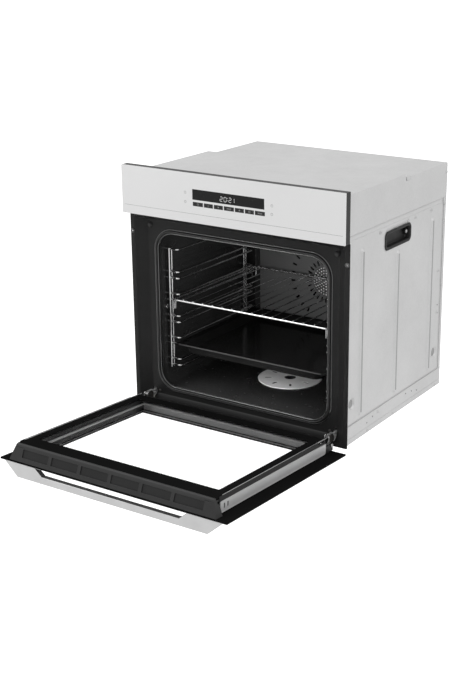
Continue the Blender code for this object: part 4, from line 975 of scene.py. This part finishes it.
def grill():
    """Heating element under the ceiling: straight runs along y joined by round bends."""
    half, low, high, z = 150.0, 100.0, 395.0, 424.0
    path = []
    for i in range(6):
        x = -half + 60 * i
        path += [(x, y, z) for y in ((high, low) if i % 2 == 0 else (low, high))]
    path = [(-half, high + 30, z)] + path[1:-1] + [(half, high + 30, z)]
    tube = wire(bent(path, 26, 8), 3.3, (0, 0, 1), 14)
    piece("grill_tube", tube, SHEATH, stands_for=["grill_element"])


# ---------------------------------------------------------------- door

SLOT_LEVELS = (424, 436)
CAP_FRONT, CAP_HALF, CAP_LEAN = 4.3, 271.0, 18
CAP_SLOPE = np.array([(7.3, 477.9), (38.5, 467.0)])
VENT_CENTRES = [-201.5 + 80.6 * i for i in range(6)]


def ring_plate(outer, inner, near, far):
    """A flat ring between two rounded rectangles (left, right, low, high, radius)."""
    return rings([(*outer, near), (*outer, far), (*inner, far), (*inner, near)], "y", 6, closed=True)


def pane(window, near, far):
    """The clear middle of a pane."""
    return rings([(*window, near), (*window, far)])


def door_glasses():
    """Outer, middle and inner panes, each a clear middle inside its printed border; the grey borders are a real
    print, made lighter as painted light.
    """
    front_print = (-297.2, 297.2, 11.7, 478.1, 1.2)
    edge, window = (-297.5, 297.5, 11.4, 478.4, 1.2), (-241, 241, 54, 421, 3)
    piece("outer_white_print", ring_plate(front_print, window, 0.0, 0.5), WHITE_PRINT, "door")
    piece("outer_glass_border", ring_plate(edge, window, 0.5, 4.0), BLACK_PRINT, "door",
          ["door_outer_glass"], bevel=0.4)
    # Grey print on the outer pane's back: real print, lightened as painted light.
    back_print = ring_plate((-244.2, 244.2, 46.5, 452, 2), window, 4.0, 4.3)
    piece("outer_glass_back_print", back_print, PRINT_AND_LIGHT_GREY, "door")
    piece("outer_glass_window", pane(window, 0.3, 3.7), CLEAR, "door")
    edge, window = (-243.5, 243.5, 40.5, 453, 2), (-239.5, 239.5, 50, 445, 3)
    # Grey border of the middle pane: real print, lightened as painted light.
    piece("middle_glass_border", ring_plate(edge, window, 20, 24), PRINT_AND_LIGHT_GREY, "door",
          ["door_middle_glass"])
    piece("middle_glass_window", pane(window, 20.3, 23.7), CLEAR, "door")
    edge, window = (-260.5, 260.5, 45.3, 462, 2), (-238, 238, 73, 421, 3)
    piece("inner_glass_border", ring_plate(edge, window, 36.5, 40.5), BLACK_PRINT, "door",
          ["door_inner_glass"], bevel=0.5)
    piece("inner_glass_window", pane(window, 36.8, 40.2), CLEAR, "door")


def door_sides():
    """Side strips with a rolled lip along each edge, two slots near the top, and a dark plate behind each slot as
    painted shade.
    """
    for side, word in SIDES:
        near, far = sorted((side * 262.3, side * 263.5))
        slots = [rounded(14, 25, z, z + 4, 1.0, 3) for z in SLOT_LEVELS]
        strip = pierced(rounded(6.5, 31, 44, 452, 3), slots, near, far, "x")
        x = side * 263.4
        lips = [wire([(x, y, 48), (x, y, 448)], 0.7, (1, 0, 0), 8) for y in (7.2, 30.3)]
        # Dark plates behind the slots: painted shade inside the door.
        deep = sorted((side * 262.0, side * 262.6))
        behind = [plate(13.5, 25.5, z - 0.5, z + 4.5, *deep, "x") for z in SLOT_LEVELS]
        piece("strip_slot_shadows_" + word, merged(*behind), BLACK_PLASTIC, "door")
        piece("side_strip_" + word, merged(strip, *lips), STRIP_ZINC, "door",
              ["door_side_strip_" + word], weld=False)


def door_spacers():
    """Profiles between the panes: one across the hinge side, one up each side, and a rolled clip along each post."""
    clips = [wire([(side * 259.5, 40.6, 36), (side * 259.5, 40.6, 440)], 1.1, (1, 0, 0), 10) for side, _ in SIDES]
    piece("pane_clips", merged(*clips), STEEL, "door")
    across = rings([(-244.6, 244.6, 6.0, 35.0, 1.0, z) for z in (45.2, 45.9)], "z", 3)
    piece("spacer_across", across, SPACER, "door")
    for side, word in SIDES:
        upright = rings([(6.0, 35.0, 47.0, 452.0, 1.0, side * x) for x in (245.6, 244.9)], "x", 3)
        piece("spacer_" + word, upright, CHARCOAL, "door")


def door_handle():
    """Bar and two slanted feet as one plate, its edges softly broken, with a dark strip of painted shade along the
    inner faces.
    """
    outline = [(-286, -0.3), (-250, -32), (250, -32), (286, -0.3), (201, -0.3), (181, -16.5), (-181, -16.5),
               (-201, -0.3)]
    piece("handle_bar", prism(outline, 464, 477, "z"), SILVER, "door", ["handle"], bevel=0.8)
    # A thin charcoal strip on the inner faces of the bar and feet: painted shade where they face the glass.
    inner = [(200.2, -0.6), (180.7, -16.3), (-180.7, -16.3), (-200.2, -0.6), (-199.9, -0.5), (-180.4, -16.1),
             (180.4, -16.1), (199.9, -0.5)]
    piece("handle_shade_strip", prism(inner, 464.8, 476.2, "z"), CHARCOAL, "door")


def door_cap():
    """Moulded cap: its section drawn along x, with ends that lean in, six sunk vents with black floors of painted
    shade, and two end tabs.
    """
    section = [
        (CAP_FRONT, 455), (CAP_FRONT, 477.2), (4.9, 477.9), tuple(CAP_SLOPE[0]), tuple(CAP_SLOPE[1]), (40.6, 465.2),
        (41.1, 463.9), (41.1, 462.4), (36.2, 462.4), (36.2, 455),
    ]
    y, z = np.array(section).T
    half = CAP_HALF - (y - CAP_FRONT) * math.tan(math.radians(CAP_LEAN))
    _, faces = prism(section, -1, 1, "x")
    points = np.concatenate([np.stack([x, y, z], 1) for x in (-half, half)])
    made = piece("door_cap", (points, faces), CHARCOAL, "door", ["door_trim"], sharp=30)
    along = CAP_SLOPE[1] - CAP_SLOPE[0]
    along /= np.hypot(*along)
    out = np.array([-along[1], along[0]])
    middle = (CAP_SLOPE[0] + CAP_SLOPE[1]) / 2

    def on_slope(centre, half_width, s_low, s_high, deep, proud):
        corners = [(s_low, deep), (s_high, deep), (s_high, proud), (s_low, proud)]
        outline = [tuple(middle + along * s + out * p) for s, p in corners]
        return prism(outline, centre - half_width, centre + half_width, "x")
    cuts = [on_slope(x, 36, -9, 9, -2.2, 6) for x in VENT_CENTRES]
    cuts += [on_slope(side * 247, 9, 10.6, 12.2, -1.2, 6) for side, _ in SIDES]
    # Black floors in the sunk vents: painted shade in the recesses.
    shade_floors = [on_slope(x, 35.8, -8.8, 8.8, -2.6, -2.0) for x in VENT_CENTRES]
    piece("vent_shade_floors", merged(*shade_floors), BLACK_PLASTIC, "door")
    points, faces = merged(*cuts, plate(-263, 263, 440, 461, 6.3, 33, "y"))
    drill(made, (opened(points), faces))
    soften(made, 0.5, 35)


def door_hinges():
    """Rivets on the hinge pins, and a black saddle with bright edges and two cross pins over each hinge arm."""
    cheek = [(8, 22), (30, 22), (30, 33), (24, 39.5), (10, 39.5), (8, 37)]
    bridge = [(8, 38.6), (12, 38.6), (12, 39.6), (8, 39.6)]
    rivet = [(4.6, 0), (4.6, 0.8), (3.8, 1.7), (2.0, 2.2), (0.01, 2.3)]
    saddles, edges, rivets = [], [], []
    for side, _ in SIDES:
        x = side * HINGE_X
        for low in (x - 5.8, x + 5.0):
            saddles.append(prism(cheek, low, low + 0.8, "x"))
            rim = [(low + 0.4, y, z) for y, z in ((8, 24), (8, 37), (10, 39.5), (24, 39.5), (30, 33))]
            edges.append(wire(rim, 0.45, (1, 0, 0), 10))
        saddles.append(prism(bridge, x - 5.6, x + 5.6, "x"))
        for y, z, radius in ((26, 27, 1.6), (9, 39.2, 0.6)):
            edges.append(wire([(x - 5.7, y, z), (x + 5.7, y, z)], radius, (0, 0, 1), 12))
        rivets.append(turned(rivet, (side * 262.2, HINGE_Y, HINGE_Z), "x", 18, side))
    piece("hinge_saddles", merged(*saddles), SHEATH, sharp=40)
    piece("saddle_edges", merged(*edges), CHROME)
    piece("hinge_rivets", merged(*rivets), STEEL, "door", sharp=45)


# ---------------------------------------------------------------- build

for make in (
    control_panel, case_sides, case_fixings, side_pressings, case_seam_shadows, hand_grips, front_frame, front_details,
    cavity, hot_air_cover, fan_rotor, floor_vent, side_racks, oven_shelf, oven_tray, grill, door_glasses, door_sides,
    door_spacers, door_handle, door_cap, door_hinges,
):
    make()

# ---------------------------------------------------------------- floor, light and camera

FLOOR_LEVEL, FLOOR_REACH, FLOOR_GLOW = -0.40, 60.0, 0.6
SURROUND_LIGHT, SURROUND_SEEN = 0.78, 1.4
VIEW_DOWN, VIEW_TURN = 17.78, 32.18


def pale_floor():
    """A big plain sheet with a faint glow of its own."""
    mesh = bpy.data.meshes.new("floor")
    corners = [(-1, -1), (1, -1), (1, 1), (-1, 1)]
    mesh.from_pydata([(FLOOR_REACH * x, FLOOR_REACH * y, FLOOR_LEVEL) for x, y in corners], [], [[0, 1, 2, 3]])
    pale = bpy.data.materials.new("pale_floor")
    pale.use_nodes = True
    tree = pale.node_tree
    shader = tree.nodes["Principled BSDF"].inputs
    shader["Base Color"].default_value = grey(0.9)
    shader["Roughness"].default_value = 0.9
    shader["Specular IOR Level"].default_value = 0.0
    shader["Emission Color"].default_value = grey(1.0)
    seen = tree.nodes.new("ShaderNodeLightPath").outputs["Is Camera Ray"]
    feed(tree, shader["Emission Strength"], times(tree, seen, FLOOR_GLOW))
    mesh.materials.append(pale)
    linked("floor", mesh)


def area_light(name, place, target, size, power):
    """A square lamp that faces a point."""
    lamp = bpy.data.lights.new(name, "AREA")
    lamp.size = size
    lamp.energy = power
    made = linked(name, lamp)
    made.location = place
    away = np.array(place) - np.array(target)
    tilt = math.atan2(math.hypot(away[0], away[1]), away[2])
    made.rotation_euler = (tilt, 0, math.atan2(away[1], away[0]) + PI / 2)
    return made


def studio():
    """Plain pale floor, an even white surround, a broad key light, a side light, a soft lamp in the mouth of the
    cavity that isn't mirrored, and a small lamp that only shows as highlights."""
    pale_floor()
    world = bpy.data.worlds.new("surround")
    world.use_nodes = True
    tree = world.node_tree
    background = tree.nodes["Background"].inputs
    background["Color"].default_value = grey(1.0)
    seen = tree.nodes.new("ShaderNodeLightPath").outputs["Is Camera Ray"]
    feed(tree, background["Strength"], ranged(tree, seen, SURROUND_LIGHT, SURROUND_SEEN, 0.0, 1.0))
    bpy.context.scene.world = world
    area_light("key", (-1.6, -2.2, 2.6), (0, -0.1, 0.3), 1.6, 26.0)
    area_light("side", (2.8, 0.2, 1.8), (0.2, 0, 0.3), 1.8, 15.0)
    inside = area_light("cavity_fill", (0, -0.243, 0.243), (0, 1.0, 0.243), 0.38, 3.0)
    inside.visible_camera = False
    inside.visible_glossy = False
    spark = area_light("spark", (-1.27, -1.73, 1.85), (0, -0.24, 0.1), 0.5, 5.0)
    spark.visible_diffuse = False


def camera():
    """View from the right and a little above."""
    lens = bpy.data.cameras.new("view")
    lens.sensor_width = 36.0
    lens.lens = 68.93
    lens.shift_x, lens.shift_y = -0.0869, -0.0279
    lens.clip_start, lens.clip_end = 0.05, 300.0
    made = linked("view", lens)
    made.location = (1.58998, -2.58532, 1.1664)
    made.rotation_euler = (PI / 2 - math.radians(VIEW_DOWN), 0, math.radians(VIEW_TURN))
    bpy.context.scene.camera = made


studio()
camera()
bpy.context.scene.view_settings.view_transform = "Standard"
